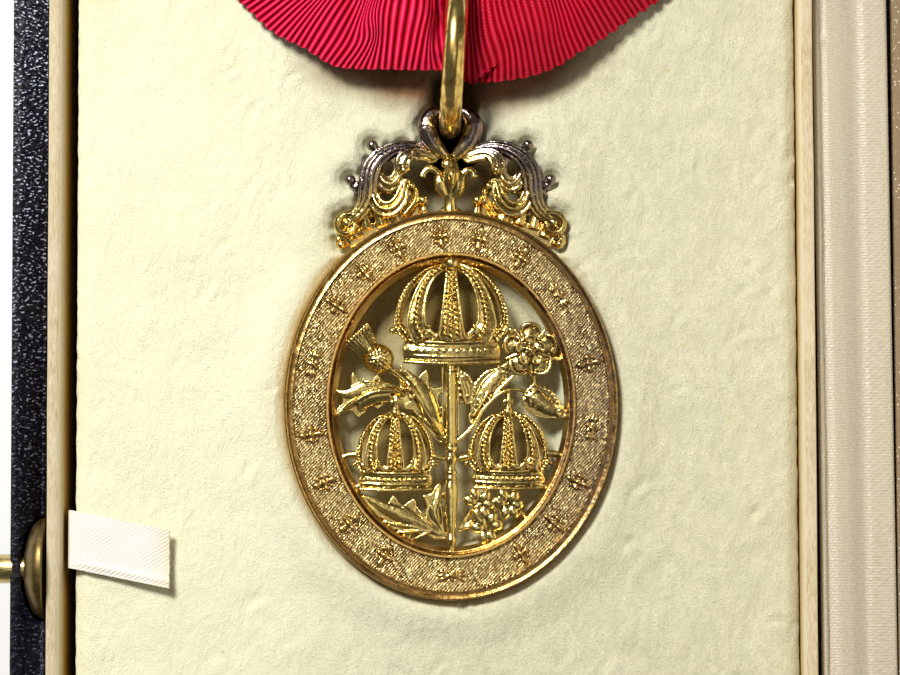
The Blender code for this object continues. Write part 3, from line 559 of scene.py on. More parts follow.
def crimson_silk():
    """Crimson ribbed silk: round cords of twisted floss, with a pink highlight painted along their crests
    and deep red shade painted between them. U runs across the cords and V along them."""
    made = Finish("crimson_silk", (0.55, 0.0, 0.02), 0.50, Sheen_Weight=0.05, Sheen_Roughness=0.35,
                  Specular_IOR_Level=0.16)
    made.shader.inputs["Sheen Tint"].default_value = (1.0, 0.10, 0.30, 1.0)
    cord = made.ribs(0.77 * MM, made.where(uv=True), "X")
    floss = made.ribs(0.15 * MM, made.where((0.55, 1.0, 1.0), uv=True), "DIAGONAL", 0.5)
    uneven = made.noise(3.0 * MM)
    thread = made.mix(made.scale(floss, 0.15, 0.85), (0.66, 0.0, 0.014), (1.0, 0.0, 0.06))
    # Painted shade: deep red between the cords.
    shade = made.mix(made.scale(cord, 0.10, 0.62), (0.15, 0.0, 0.003), thread)
    # Painted highlight: pink along each cord's crest, broken by the floss.
    crest = made.times(made.scale(cord, 0.84, 1.0), made.scale(floss, 0.25, 0.80, 0.15, 1.0))
    shade = made.mix(crest, shade, (1.0, 0.12, 0.42))
    # Painted shade: the ribbon darkens towards the right, where the key lamp's light falls off.
    right = made.scale(made.axis(made.where(), "X"), -2 * MM, 7 * MM, 0.0, 0.68)
    shade = made.mix(right, shade, (0.30, 0.0, 0.004))
    made.colour(made.mix(made.scale(uneven, 0.4, 0.8, 0.0, 0.35), shade, (0.48, 0.0, 0.012)))
    made.rough(made.scale(floss, 0.0, 1.0, 0.42, 0.60))
    made.relief(floss, 0.06 * MM, 0.8)
    return made


def tape_cloth():
    """White twill tape, yellowed at its cut end, with one rust stain."""
    made = Finish("tape_cloth", (0.90, 0.87, 0.80), 0.8, Sheen_Weight=0.2)
    twill = made.ribs(0.36 * MM, made.where(turn=52.0, uv=True), "X", 0.9)
    weft = made.noise(0.18 * MM, made.where((0.5, 1.6, 1.0), uv=True))
    along = made.axis(made.where(uv=True), "X")
    cut = made.mix(made.scale(along, 15.4 * MM, 18.2 * MM, 0.0, 0.65), (0.92, 0.89, 0.83),
                   (0.84, 0.70, 0.46))
    old = made.mix(made.scale(twill, 0.1, 0.6, 0.45, 0.0), cut, (0.76, 0.64, 0.48))
    stain = made.cells(13.0 * MM, made.where((0.6, 1.0, 1.0), uv=True))
    made.colour(made.mix(made.scale(stain, 0.03, 0.10, 0.6, 0.0), old, (0.78, 0.46, 0.14)))
    made.relief(twill, 0.07 * MM, 0.6)
    made.relief(weft, 0.05 * MM, 0.5)
    return made


def old_brass():
    """Brown-green patina over brass, with orange flecks, and rubbed to the metal at the rim."""
    made = Finish("old_brass", (0.20, 0.14, 0.05), 0.38, Metallic=0.85)
    cloud = made.noise(2.2 * MM, detail=5.0, roughness=0.65)
    fleck = made.noise(0.35 * MM, roughness=0.7)
    brown = made.mix(made.scale(cloud, 0.35, 0.7), (0.11, 0.070, 0.022), (0.25, 0.18, 0.065))
    made.colour(made.mix(made.scale(fleck, 0.62, 0.72), brown, (0.55, 0.27, 0.05)))
    made.rough(made.scale(cloud, 0.3, 0.7, 0.26, 0.5))
    made.relief(fleck, 0.03 * MM, 0.5)
    return made


def rubbed_brass():
    """The button's shank, kept bright by fingers."""
    made = Finish("rubbed_brass", (0.62, 0.50, 0.20), 0.28, Metallic=1.0)
    scratch = made.noise(0.3 * MM, made.where((0.15, 1.0, 1.0)), detail=4.0)
    made.colour(made.mix(made.scale(scratch, 0.35, 0.7), (0.42, 0.32, 0.12), (0.72, 0.60, 0.28)))
    made.rough(made.scale(scratch, 0.3, 0.7, 0.22, 0.42))
    made.relief(scratch, 0.02 * MM, 0.4)
    return made


# Case


CLOTH_EDGE = 0.45 * MM
PLUG_FLOOR = 6.0 * MM
PLUG_HALF_LENGTH = 7.2 * MM
BRIDGE_HALF_LENGTH = 1.2 * MM
BRIDGE_THICK = 0.14 * MM
DISC_POCKET = Vector((2.75, 6.6, 6.6)) * MM


def case_base():
    """The tray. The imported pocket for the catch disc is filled, and cut anew to hug the disc's dome.
    A thin bridge covers the button's shank where it passes under the ledge."""
    middle = (BUTTON_LOW + BUTTON_HIGH) / 2
    piece = cad_copy("case_base", "tray")
    plug = block("pocket_plug", (BASE_LOW.x + 0.8 * MM, -PLUG_HALF_LENGTH, PLUG_FLOOR),
                 (-TRAY_HALF_WIDTH, PLUG_HALF_LENGTH, LEDGE_Z))
    combine(piece, plug, "UNION")
    whole_faces(piece)
    round_edges(piece, CLOTH_EDGE, 3, 50)
    bridge = block("bridge", (BASE_LOW.x + 0.2 * MM, -BRIDGE_HALF_LENGTH, LEDGE_Z - BRIDGE_THICK),
                   (BUTTON_HIGH.x - 1.5 * MM, BRIDGE_HALF_LENGTH, LEDGE_Z))
    combine(piece, bridge, "UNION")
    let_go()
    bpy.ops.mesh.primitive_uv_sphere_add(segments=64, ring_count=32, radius=1.0,
                                         location=(BUTTON_HIGH.x - 0.3 * MM, middle.y, middle.z))
    dome = added("disc_cutter")
    dome.scale = DISC_POCKET
    combine(piece, settle(dome), "DIFFERENCE")
    smooth(piece, 60)
    hand_over(piece, "root", "leathercloth", [leathercloth()], "case_base")


def liner():
    """A frame of card: a sheet, its middle cut out, drawn up to a wall and rounded on top."""
    size = LINER_HIGH - LINER_LOW
    let_go()
    bpy.ops.mesh.primitive_plane_add(size=1.0, location=(0.0, 0.0, LINER_LOW.z))
    piece = added("card_liner")
    piece.scale = (size.x, size.y, 1.0)
    bpy.ops.object.transform_apply()
    open_up(piece)
    pick_all()
    bpy.ops.mesh.inset(thickness=LINER_THICK)
    bpy.ops.mesh.delete(type="FACE")
    pick_all()
    draw_out(0.0, 0.0, size.z)
    settle(piece)
    open_up(piece)
    top = LINER_HIGH.z - MM / 10
    inner = size.x / 2 - LINER_THICK / 2, size.y / 2 - LINER_THICK / 2

    def inner_rim(edge):
        return all(vert.co.z > top and abs(vert.co.x) < inner[0] and abs(vert.co.y) < inner[1]
                   for vert in edge.verts)

    def outer_rim(edge):
        return all(vert.co.z > top for vert in edge.verts) and any(
            abs(vert.co.x) > inner[0] for vert in edge.verts) and edge.calc_length() > size.x / 2

    pick(piece, "EDGE", inner_rim)
    bpy.ops.mesh.bevel(offset=0.75 * MM, segments=5)
    pick(piece, "EDGE", outer_rim)
    bpy.ops.mesh.bevel(offset=0.18 * MM, segments=3)
    close_up()
    for normal, reach, cuts in (((0.0, 1.0, 0.0), size.y, 60), ((1.0, 0.0, 0.0), size.x, 32)):
        open_up(piece)
        for cut in range(1, cuts):
            spot = Vector(normal) * reach * (cut / cuts - 0.5)
            pick_all()
            bpy.ops.mesh.bisect(plane_co=spot, plane_no=normal)
    close_up()

    def warp(spot):
        """Card is never quite straight: it leans a little, more at the top."""
        share = (spot.z - LINER_LOW.z) / size.z
        lean = soft_noise(spot.x, spot.y, 26 * MM) * 0.16 * MM * share
        nick = soft_noise(spot.x, spot.y, 1.9 * MM, 4.0) * 0.05 * MM * share
        side = 1.0 if abs(spot.x) / size.x > abs(spot.y) / size.y else 0.0
        inward = -copysign(1.0, spot.x) * side, -copysign(1.0, spot.y) * (1 - side)
        return spot + Vector((inward[0] * abs(lean), inward[1] * abs(lean), nick * 0.8 - abs(nick)))

    sculpt(piece, warp)
    smooth(piece, 50)
    hand_over(piece, "root", "cream_card", [liner_paper(), board_edge()], "liner")
    second_finish(piece, lambda place, normal: normal.z > 0.75)


# Pad. Under the openings of the crest its seat is three boxes: half width, and reach from the
# oval's top.
CREST_SEAT = [dict(half=10.6 * MM, low=-8.0 * MM, high=4.0 * MM),
              dict(half=9.0 * MM, low=-4.0 * MM, high=6.9 * MM),
              dict(half=2.9 * MM, low=4.0 * MM, high=11.8 * MM)]
SEAT_ROUND = 1.2 * MM
SEAT_GAP = 0.35 * MM
PAD_CELL = 0.46 * MM
PAD_DENTS = 220
DENT_TILE = 4 * MM
SLOT_HALF_WIDTH = 1.75 * MM
SLOT_DEEP = 9.0 * MM
# The slot widens to a pocket round the badge's loop: half width, reach from the oval's middle, and
# the roundness of its corners.
POCKET = dict(half=3.15 * MM, low=29.3 * MM, high=41.0 * MM, round=1.5 * MM)
RING_TURN = radians(-3.6)
RING_SHIFT = 0.25 * MM
BADGE_SINK = 1.45 * MM
# The velvet swells up round the badge, and rolls down a little into its seat and at the pad's edge.
PAD_SWELL = 0.85 * MM
SEAT_ROLL = 0.50 * MM
EDGE_ROLL = 0.85 * MM
SLOT_ROLL = 0.55 * MM
HOLLOW = 2.0 * MM
CREST_HOLLOW = 4.6 * MM


def oval_distance(x, y, a, b):
    """How far a place lies outside an oval about the origin, nearly enough."""
    radius = hypot(x / a, y / b)
    if radius < 0.05:
        return -min(a, b)
    return (radius - 1) * radius / hypot(x / a ** 2, y / b ** 2)


def box_distance(x, y, half_x, low_y, high_y, corner):
    away_x = abs(x) - half_x + corner
    away_y = abs(y - (low_y + high_y) / 2) - (high_y - low_y) / 2 + corner
    outside = hypot(max(away_x, 0.0), max(away_y, 0.0))
    return outside + min(max(away_x, away_y), 0.0) - corner


def crest_distance(x, y):
    """How far a place, taken from the badge's middle, lies outside the crest."""
    near = min(box_distance(x, y, box["half"], OVAL_B + box["low"], OVAL_B + box["high"], SEAT_ROUND)
               for box in CREST_SEAT)
    if y > OVAL_B - 6 * MM:
        for across, up, _, radius in (*LOOP_LOBE, *MAIN_SCROLL, *FOOT_VOLUTE, *FOOT_TAIL, *CREST_BALLS):
            away = hypot(abs(x) - abs(across) * MM, y - up * MM) - radius * MM
            near = min(near, away)
    return near - SEAT_GAP


def badge_distance(x, y):
    """How far a place on the pad lies from the badge's seat."""
    x, y = x - MIDDLE.x, y - MIDDLE.y
    return min(oval_distance(x, y, OVAL_A, OVAL_B), crest_distance(x, y))


def slot_distance(x, y):
    """How far a place on the pad lies from the slot that the ring stands in."""
    middle_x, middle_y = (RING_LOW.x + RING_HIGH.x) / 2 + RING_SHIFT, (RING_LOW.y + RING_HIGH.y) / 2
    half = (RING_HIGH.y - RING_LOW.y) / 2 + 0.4 * MM
    across, along = x - middle_x, y - middle_y
    across -= along * tan(-RING_TURN)
    slit = box_distance(across, along, SLOT_HALF_WIDTH, -half, half, SLOT_HALF_WIDTH)
    pocket = box_distance(x - middle_x, y - MIDDLE.y, POCKET["half"], POCKET["low"], POCKET["high"],
                          POCKET["round"])
    return min(slit, pocket)


def tile_of(x, y):
    return int(x // DENT_TILE), int(y // DENT_TILE)


def pad_dents():
    """Small comma-shaped dents in the nap, thicker on the right, sorted by the tiles near them."""
    draw = random.Random(11)
    tiles = {}
    for _ in range(PAD_DENTS):
        share = draw.random() ** 0.6
        x = PAD_LOW.x + (PAD_HIGH.x - PAD_LOW.x) * share
        y = draw.uniform(PAD_LOW.y, PAD_HIGH.y)
        dent = dict(x=x, y=y, turn=draw.gauss(1.15, 0.45), length=draw.uniform(0.5, 1.9) * MM,
                    width=draw.uniform(0.30, 0.60) * MM, deep=draw.uniform(0.10, 0.42) * MM)
        column, row = tile_of(x, y)
        for i in (-1, 0, 1):
            for j in (-1, 0, 1):
                tiles.setdefault((column + i, row + j), []).append(dent)
    return tiles


def dent_height(dent, x, y):
    """What one dent does at a place: a curved groove with a low ridge beside it."""
    across, along = x - dent["x"], y - dent["y"]
    c, s = cos(dent["turn"]), sin(dent["turn"])
    u, v = across * c + along * s, along * c - across * s
    v += 0.25 * u * u / dent["length"]
    ridge = gauss(v + dent["width"] * 1.3, dent["width"]) * 0.7
    return dent["deep"] * gauss(u, dent["length"]) * (ridge - gauss(v, dent["width"]))


def pad():
    """Velvet over a soft board, pressed in round the badge and slit for the ring."""
    size = PAD_HIGH - PAD_LOW
    piece = grid("velvet_pad", round(size.x / PAD_CELL), round(size.y / PAD_CELL))
    piece.location = ((PAD_LOW.x + PAD_HIGH.x) / 2, (PAD_LOW.y + PAD_HIGH.y) / 2, PAD_HIGH.z)
    piece.scale = (size.x, size.y, 1.0)
    settle(piece)
    tiles = pad_dents()

    def press(spot):
        """The nap's own unevenness and dents, then the badge's seat, then the ring's slot."""
        x, y = spot.x, spot.y
        edge = min(x - PAD_LOW.x, PAD_HIGH.x - x, y - PAD_LOW.y, PAD_HIGH.y - y)
        z = PAD_HIGH.z - 0.20 * MM
        z -= EDGE_ROLL * (1 - ease(0.0, 1.5 * MM, edge)) ** 1.5
        z += soft_noise(x, y, 17 * MM, 1.0) * 0.20 * MM + soft_noise(x, y, 6 * MM, 2.0) * 0.18 * MM
        z += soft_noise(x, y * 0.6, 2.4 * MM, 3.0) * 0.12 * MM
        for dent in tiles.get(tile_of(x, y), ()):
            z += dent_height(dent, x, y)
        away = badge_distance(x, y)
        z += PAD_SWELL * gauss(away - 2.0 * MM, 2.8 * MM) * (1 - ease(50 * MM, 56 * MM, y))
        z -= SEAT_ROLL * (1 - ease(0.1 * MM, 1.3 * MM, away))
        z -= (BADGE_SINK - 0.55 * MM) * (1 - ease(-0.25 * MM, 0.35 * MM, away))
        if away < 0:
            from_oval = oval_distance(x - MIDDLE.x, y - MIDDLE.y, OVAL_A, OVAL_B)
            z -= HOLLOW * ease(6.2 * MM, 7.6 * MM, -from_oval)
            z -= CREST_HOLLOW * ease(0.4 * MM, 1.4 * MM, -away) * ease(-0.2 * MM, 0.8 * MM, from_oval)
        slot = slot_distance(x, y)
        z -= SLOT_ROLL * (1 - ease(0.0, 1.6 * MM, slot))
        z -= SLOT_DEEP * (1 - ease(-0.85 * MM, 0.20 * MM, slot))
        wander = soft_noise(x, y, 1.3 * MM, 9.0) * 0.10 * MM * (1 - ease(0.0, 0.6 * MM, edge))
        return Vector((x + wander, y + wander, min(z, PAD_HIGH.z + PAD_SWELL)))

    def near_the_badge(face):
        middle = face.calc_center_median()
        away, slot = badge_distance(middle.x, middle.y), slot_distance(middle.x, middle.y)
        return -0.8 * MM < away < 1.3 * MM or -1.4 * MM < slot < 0.9 * MM

    open_up(piece)
    pick(piece, "FACE", near_the_badge)
    bpy.ops.mesh.subdivide(number_cuts=1)
    close_up()
    sculpt(piece, press)
    open_up(piece)
    pick(piece, "EDGE", lambda edge: edge.is_boundary)
    for _ in range(2):
        draw_out(0.0, 0.0, -size.z / 2)
    bpy.ops.mesh.edge_face_add()
    close_up()

    def level_foot(spot):
        low = PAD_LOW.z + 1.5 * MM
        return Vector((spot.x, spot.y, PAD_LOW.z)) if spot.z < low else spot

    sculpt(piece, level_foot)
    smooth(piece, 75)
    hand_over(piece, "root", "cream_velvet", [velvet()], "pad")


# Satin over the hinge, in the case's millimetres, as the lid stands open. Each row is one line along
# the cloth: (x at the ribbon's end, x at the other end, z).
SATIN_LINES = [(46.15, 46.45, 14.20), (45.95, 46.50, 14.85), (46.05, 46.62, 15.22), (46.35, 46.86, 15.42),
               (46.65, 47.10, 15.28), (46.85, 47.25, 14.85), (47.10, 47.45, 14.72), (47.40, 47.90, 14.80),
               (47.62, 48.45, 14.92), (47.80, 48.85, 15.15), (48.05, 49.20, 15.50), (48.35, 49.60, 15.92),
               (48.70, 50.00, 16.35), (49.15, 50.30, 17.00), (49.70, 50.60, 17.90), (50.15, 50.85, 18.85),
               (50.70, 51.20, 19.62), (51.40, 51.80, 19.92), (52.40, 52.80, 19.90), (53.40, 54.00, 19.86),
               (54.05, 54.60, 19.80), (54.30, 54.80, 19.55)]
SATIN_TURN_Y = (-12 * MM, 74 * MM)
SATIN_THICK = 0.22 * MM
SATIN_WIDTH = 14.0 * MM
SATIN_STEPS = 300
# Over the hinges' barrels the satin keeps this far from the hinge's axis.
SATIN_OVER_BARREL = 1.72 * MM
BARRELS_FROM, BARRELS_TO = 42.6 * MM, 57.4 * MM


def satin():
    """One strip of satin from the tray's ledge over the hinge to the lid's wall."""
    rows = len(SATIN_LINES) - 1
    piece = grid("hinge_satin", rows * 3, SATIN_STEPS)

    def lay(spot):
        row = min((spot.x + 0.5) * rows, rows - 1e-6)
        first, second = SATIN_LINES[int(row)], SATIN_LINES[int(row) + 1]
        share = row - int(row)
        y = spot.y * 2 * SATIN_HALF_LENGTH
        end = min(max((y - SATIN_TURN_Y[0]) / (SATIN_TURN_Y[1] - SATIN_TURN_Y[0]), 0.0), 1.0)
        at = [near + (far - near) * end for far, near, _ in (first, second)]
        x = at[0] + (at[1] - at[0]) * share
        z = first[2] + (second[2] - first[2]) * share
        drift = soft_noise(row * 0.02, y, 9 * MM, 2.0) * 0.10 + soft_noise(row, y / MM, 1.4) * 0.05
        pinch = gauss(y - 63.5 * MM, 0.5 * MM) * gauss(row - 6.5, 1.5)
        inner = ease(2.0, 4.0, row) * (1 - ease(rows - 2.0, rows - 0.5, row))
        place = Vector(((x + drift * inner) * MM, y, (z + (drift * 0.7 + 0.35 * pinch) * inner) * MM))
        over = ease(BARRELS_FROM - 2 * MM, BARRELS_FROM, abs(y))
        over *= 1 - ease(BARRELS_TO, BARRELS_TO + 2 * MM, abs(y))
        away = Vector((place.x - AXIS.x, 0.0, place.z - AXIS.z))
        if away.length < SATIN_OVER_BARREL:
            place += away.normalized() * (SATIN_OVER_BARREL - away.length) * over
        return place

    chart(piece, lambda spot: ((spot.x + 0.5) * SATIN_WIDTH, spot.y * 2 * SATIN_HALF_LENGTH))
    sculpt(piece, lay)
    modify(piece, "SMOOTH", factor=0.5, iterations=2)
    modify(piece, "SOLIDIFY", thickness=SATIN_THICK, offset=-1.0)
    smooth(piece, 80)
    hand_over(piece, None, "satin", [satin_cloth()], "satin_strip", "lid_satin")
    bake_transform(piece)


TAPE_WIDTH = 6.9 * MM
TAPE_THICK = 0.35 * MM
TAPE_Y = 3.50 * MM
TAPE_SLANT = tan(radians(-11.6))


def lift_tab():
    """Twill tape: out of the gap beside the pad, over its edge, and lifting a little to its end."""
    low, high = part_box("lift_tab")
    piece = grid("tape_tab", 110, 44)
    root = Vector((low.x + 0.45 * MM, 0.0, low.z))
    over = PAD_HIGH.z + 0.42 * MM
    rise, bend, reach = over - root.z, 1.1 * MM, high.x - low.x - 0.9 * MM

    def lay(spot):
        along = (spot.x + 0.5) * (rise + reach)
        side = spot.y
        if along < rise - bend:
            x, z = 0.0, along
        elif along < rise + bend * 0.57:
            turn = (along - rise + bend) / bend
            turn = min(turn, pi / 2)
            x, z = bend * (1 - cos(turn)), rise - bend + bend * sin(turn)
        else:
            x = bend + along - rise - bend * 0.57
            z = rise + 0.95 * MM * (x / reach) ** 1.7
        y = TAPE_Y + side * TAPE_WIDTH + max(x - 0.3 * MM, 0.0) * TAPE_SLANT
        z += 0.16 * MM * gauss(side + 0.38, 0.05) * ease(0.0, 2 * MM, x)
        z += soft_noise(along, side * TAPE_WIDTH, 3.2 * MM, 5.0) * 0.16 * MM * ease(0.0, 4 * MM, x)
        z += 0.35 * MM * side * side * ease(3 * MM, reach, x)
        fray = soft_noise(side * TAPE_WIDTH, 0.0, 0.35 * MM, 7.0) * 0.16 * MM
        x += fray * ease(reach * 0.8, reach, x)
        y += soft_noise(along, side, 0.30 * MM, 8.0) * 0.035 * MM * ease(0.4, 0.5, abs(side))
        return Vector((root.x + x, y, root.z + z))

    chart(piece, lambda spot: ((spot.x + 0.5) * (rise + reach), spot.y * TAPE_WIDTH))
    sculpt(piece, lay)
    modify(piece, "SOLIDIFY", thickness=TAPE_THICK, offset=0.0)
    smooth(piece, 60)
    hand_over(piece, "root", "cotton_tape", [tape_cloth()], "lift_tab")


def push_button():
    """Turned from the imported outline: a domed disc, a rolled rim and a shank that shows outside."""
    middle = (BUTTON_LOW + BUTTON_HIGH) / 2
    radius = (BUTTON_HIGH.z - BUTTON_LOW.z) / 2
    flat = BUTTON_HIGH.x
    dome, rim, shank = 2.6 * MM, 0.30 * MM, 1.75 * MM
    outline = [(BUTTON_LOW.x, 0.0), (BUTTON_LOW.x, shank * 0.72), (BUTTON_LOW.x + 0.15 * MM, shank * 0.88),
               (BUTTON_LOW.x + 0.5 * MM, shank)]
    first = asin(shank / radius)
    for step in range(15):
        turn = first + (pi / 2 - first) * step / 14
        outline.append((flat - rim - (dome - rim) * cos(turn), (radius - 0.12 * MM) * sin(turn)))
    outline += [(flat - rim, radius), (flat - 0.05 * MM, radius), (flat, radius - 0.1 * MM),
                (flat, radius * 0.5), (flat, 0.0)]
    let_go()
    bpy.ops.mesh.primitive_circle_add(vertices=len(outline), radius=1.0)
    piece = added("catch_button")
    for vert, (x, out) in zip(piece.data.vertices, outline):
        vert.co = (x, middle.y, middle.z + out)
    open_up(piece)
    closing = {0, len(outline) - 1}
    pick(piece, "EDGE", lambda edge: {vert.index for vert in edge.verts} == closing)
    bpy.ops.mesh.delete(type="EDGE")
    pick_all()
    bpy.ops.mesh.spin(steps=96, angle=2 * pi, center=middle, axis=(1.0, 0.0, 0.0))
    settle(piece)
    smooth(piece, 35)
    hand_over(piece, "root", "brass", [old_brass(), rubbed_brass()], "push_button")
    second_finish(piece, lambda place, normal: place.x < BASE_LOW.x + 1.0 * MM)


# Badge. Places on it are in millimetres from the middle of its oval: across, up, and above its back.
FRAME_STEPS = 480
BAND_ROWS = 26
BAND_OUTER = 1.10
BAND_INNER = 4.95
# The frame's section, from its outer foot round its top to its inner foot: how far in, and how high.
FRAME_OUTER = [(0.12, 0.0), (0.0, 0.15), (0.0, 2.80), (0.06, 2.98), (0.20, 3.08), (0.30, 3.04),
               (0.42, 2.96), (0.70, 2.92), (0.92, 2.98), (1.02, 3.00), (BAND_OUTER, 2.62)]
FRAME_INNER = [(BAND_INNER, 2.62), (5.02, 3.02), (5.10, 3.10), (5.32, 3.10), (5.40, 3.00),
               (5.46, 2.72), (5.66, 2.66), (5.74, 2.78), (5.82, 2.76), (6.30, 1.55), (6.36, 1.35),
               (6.36, 0.12), (6.26, 0.0)]
SPRIG_PLACES = (40.0, 166.0, 352.0, 270.0)
ROSETTE_PLACES = (60.0, 78.0, 94.0, 112.0, 128.0, 144.0, 190.0, 207.0, 224.0, 242.0,
                  299.0, 316.0, 333.0, 14.0)
CAST_GRAIN = 0.105 * MM


def spot(across, up, above):
    return MIDDLE + Vector((across, up, above)) * MM


def bar(path, flat=1.0, sides=2, steps=5):
    """A tapered bar of metal through (across, up, above, radius); flat squeezes its height."""
    let_go()
    bpy.ops.curve.primitive_bezier_curve_add()
    piece = bpy.context.active_object
    shape = piece.data
    shape.dimensions = "3D"
    shape.splines.clear()
    line = shape.splines.new("BEZIER")
    line.bezier_points.add(len(path) - 1)
    line.resolution_u = steps
    middle = sum(point[2] for point in path) / len(path)
    for point, (across, up, above, radius) in zip(line.bezier_points, path):
        point.co = spot(across, up, middle + (above - middle) / flat)
        point.radius = radius
        point.handle_left_type = point.handle_right_type = "AUTO"
    shape.bevel_depth = MM
    shape.bevel_resolution = sides
    shape.use_fill_caps = True
    bpy.ops.object.convert(target="MESH")
    if flat != 1.0:
        level = MIDDLE.z + middle * MM
        sculpt(piece, lambda place: Vector((place.x, place.y, level + (place.z - level) * flat)))
    return piece


def ball(across, up, above, radius, flat=1.0, long=1.0, turn=0.0):
    """A bead, squeezed flat or drawn out along a direction."""
    let_go()
    bpy.ops.mesh.primitive_uv_sphere_add(segments=14, ring_count=9, radius=radius * MM,
                                         location=spot(across, up, above))
    piece = bpy.context.active_object
    piece.scale = (long, 1.0, flat)
    piece.rotation_euler.z = radians(turn)
    bpy.ops.object.transform_apply()
    return piece


def beads(places):
    """Many beads: one is modelled, and the rest are its copies. Places are (across, up, above, r)."""
    first = ball(0.0, 0.0, 0.0, 1.0)
    row = []
    for across, up, above, radius in places:
        bead = twin(first)
        bead.data.transform(Matrix.Translation(spot(across, up, above)) @ Matrix.Scale(radius, 4)
                            @ Matrix.Translation(-MIDDLE))
        row.append(bead)
    bpy.data.objects.remove(first)
    return row


def shifted(path, share, rise, width=0.26):
    """A line beside a bar's own line, at a share of its half width, lying on its top."""
    beside = []
    for index, (across, up, above, radius) in enumerate(path):
        before, after = path[max(index - 1, 0)], path[min(index + 1, len(path) - 1)]
        along = Vector((after[0] - before[0], after[1] - before[1])).normalized()
        lift = radius * rise * sqrt(1 - share * share)
        beside.append((across - along.y * radius * share, up + along.x * radius * share,
                       above + lift, max(radius * width, 0.10)))
    return beside


def fluted(path, flutes=3, flat=0.8):
    """A bar with ridges along its top."""
    pieces = [bar(path, flat)]
    for number in range(flutes):
        share = 0.78 * (2 * number / (flutes - 1) - 1) if flutes > 1 else 0.0
        pieces.append(bar(shifted(path, share, flat)))
    return pieces


def spaced(path, pitch):
    """Places along a line, one every pitch."""
    places = []
    left = 0.0
    for first, second in zip(path, path[1:]):
        first, second = Vector(first[:3]), Vector(second[:3])
        length = (second - first).length
        while left < length:
            places.append(tuple(first.lerp(second, left / length)))
            left += pitch
        left -= length
    return places


def leaf_body(outline, low, high):
    """A flat plate cut to an outline."""
    let_go()
    bpy.ops.mesh.primitive_circle_add(vertices=len(outline), radius=MM, fill_type="NGON")
    piece = bpy.context.active_object
    for vert, (across, up) in zip(piece.data.vertices, outline):
        vert.co = spot(across, up, low)
    open_up(piece)
    pick_all()
    bpy.ops.mesh.quads_convert_to_tris()
    draw_out(0.0, 0.0, (high - low) * MM)
    return settle(piece)


def plate(outline):
    """A flat leaf with a fine soft edge."""
    edge = [(across, up, 1.70, 0.11) for across, up in [*outline, outline[0]]]
    return [leaf_body(outline, 0.9, 1.75), bar(edge, sides=1, steps=2)]


def swelling(*path):
    """A leaf's body, which stands higher along its middle."""
    return bar([(across, up, 1.70, radius) for across, up, radius in path], 0.42)


def veins(stem, ends, high=1.75, thick=0.136):
    """Low ribs that run from a leaf's stem to its points."""
    pieces = []
    for across, up in ends:
        middle = ((stem[0] + across) / 2, (stem[1] + up) / 2)
        pieces.append(bar([(*stem, high, thick), (*middle, high + 0.1, thick),
                           (across, up, high - 0.15, 0.07)], sides=1))
    return pieces


def midrib(stem, tip, high, thick, shares, pair, low, thin):
    """A leaf's middle rib, and a pair of ribs from each place along it."""
    pieces = veins(stem, [tip], high, thick)
    for share in shares:
        x, y = (near + (far - near) * share for near, far in zip(stem, tip))
        pieces += veins((x, y), [(x + across, y + up) for across, up in pair(share)], low, thin)
    return pieces


def fan(count, start=90.0):
    """Directions spread evenly round a circle: each one's degrees, cosine and sine."""
    for number in range(count):
        turn = start + 360.0 * number / count
        yield turn, cos(radians(turn)), sin(radians(turn))


def toothed(line, size=0.26, pitch=0.46, high=1.6):
    """Small teeth along a leaf's edge, pointing to the left of the line."""
    pieces = []
    path = [(across, up, high) for across, up in line]
    places = spaced(path, pitch)
    for first, second in zip(places, places[1:]):
        along = Vector((second[0] - first[0], second[1] - first[1])).normalized()
        out = Vector((-along.y, along.x)) * size + along * size * 0.5
        pieces.append(bar([(first[0] - out.x * 0.6, first[1] - out.y * 0.6, high + 0.05, 0.24),
                           (first[0] + out.x, first[1] + out.y, high, 0.09)], sides=1, steps=2))
    return pieces


def cast(name, pieces, grain=CAST_GRAIN, soften=2, keep=0.55):
    """Run the parts together as one casting, and soften it as tumbling and wear do."""
    piece = weld(name, pieces)
    modify(piece, "REMESH", mode="VOXEL", voxel_size=grain)
    modify(piece, "SMOOTH", factor=0.45, iterations=soften)
    modify(piece, "DECIMATE", ratio=keep)
    smooth(piece, 75)
    return piece


def hatch(x, y):
    """The band's ground is uneven under its fine strokes, which are in the finish."""
    return (soft_noise(x, y, 0.42 * MM, 5.0) + soft_noise(x, y, 1.3 * MM, 3.0)) * 0.05 * MM


def inset_of(place):
    """How far in from the frame's outer edge a place lies, in millimetres."""
    return -oval_distance(place.x - MIDDLE.x, place.y - MIDDLE.y, OVAL_A, OVAL_B) / MM


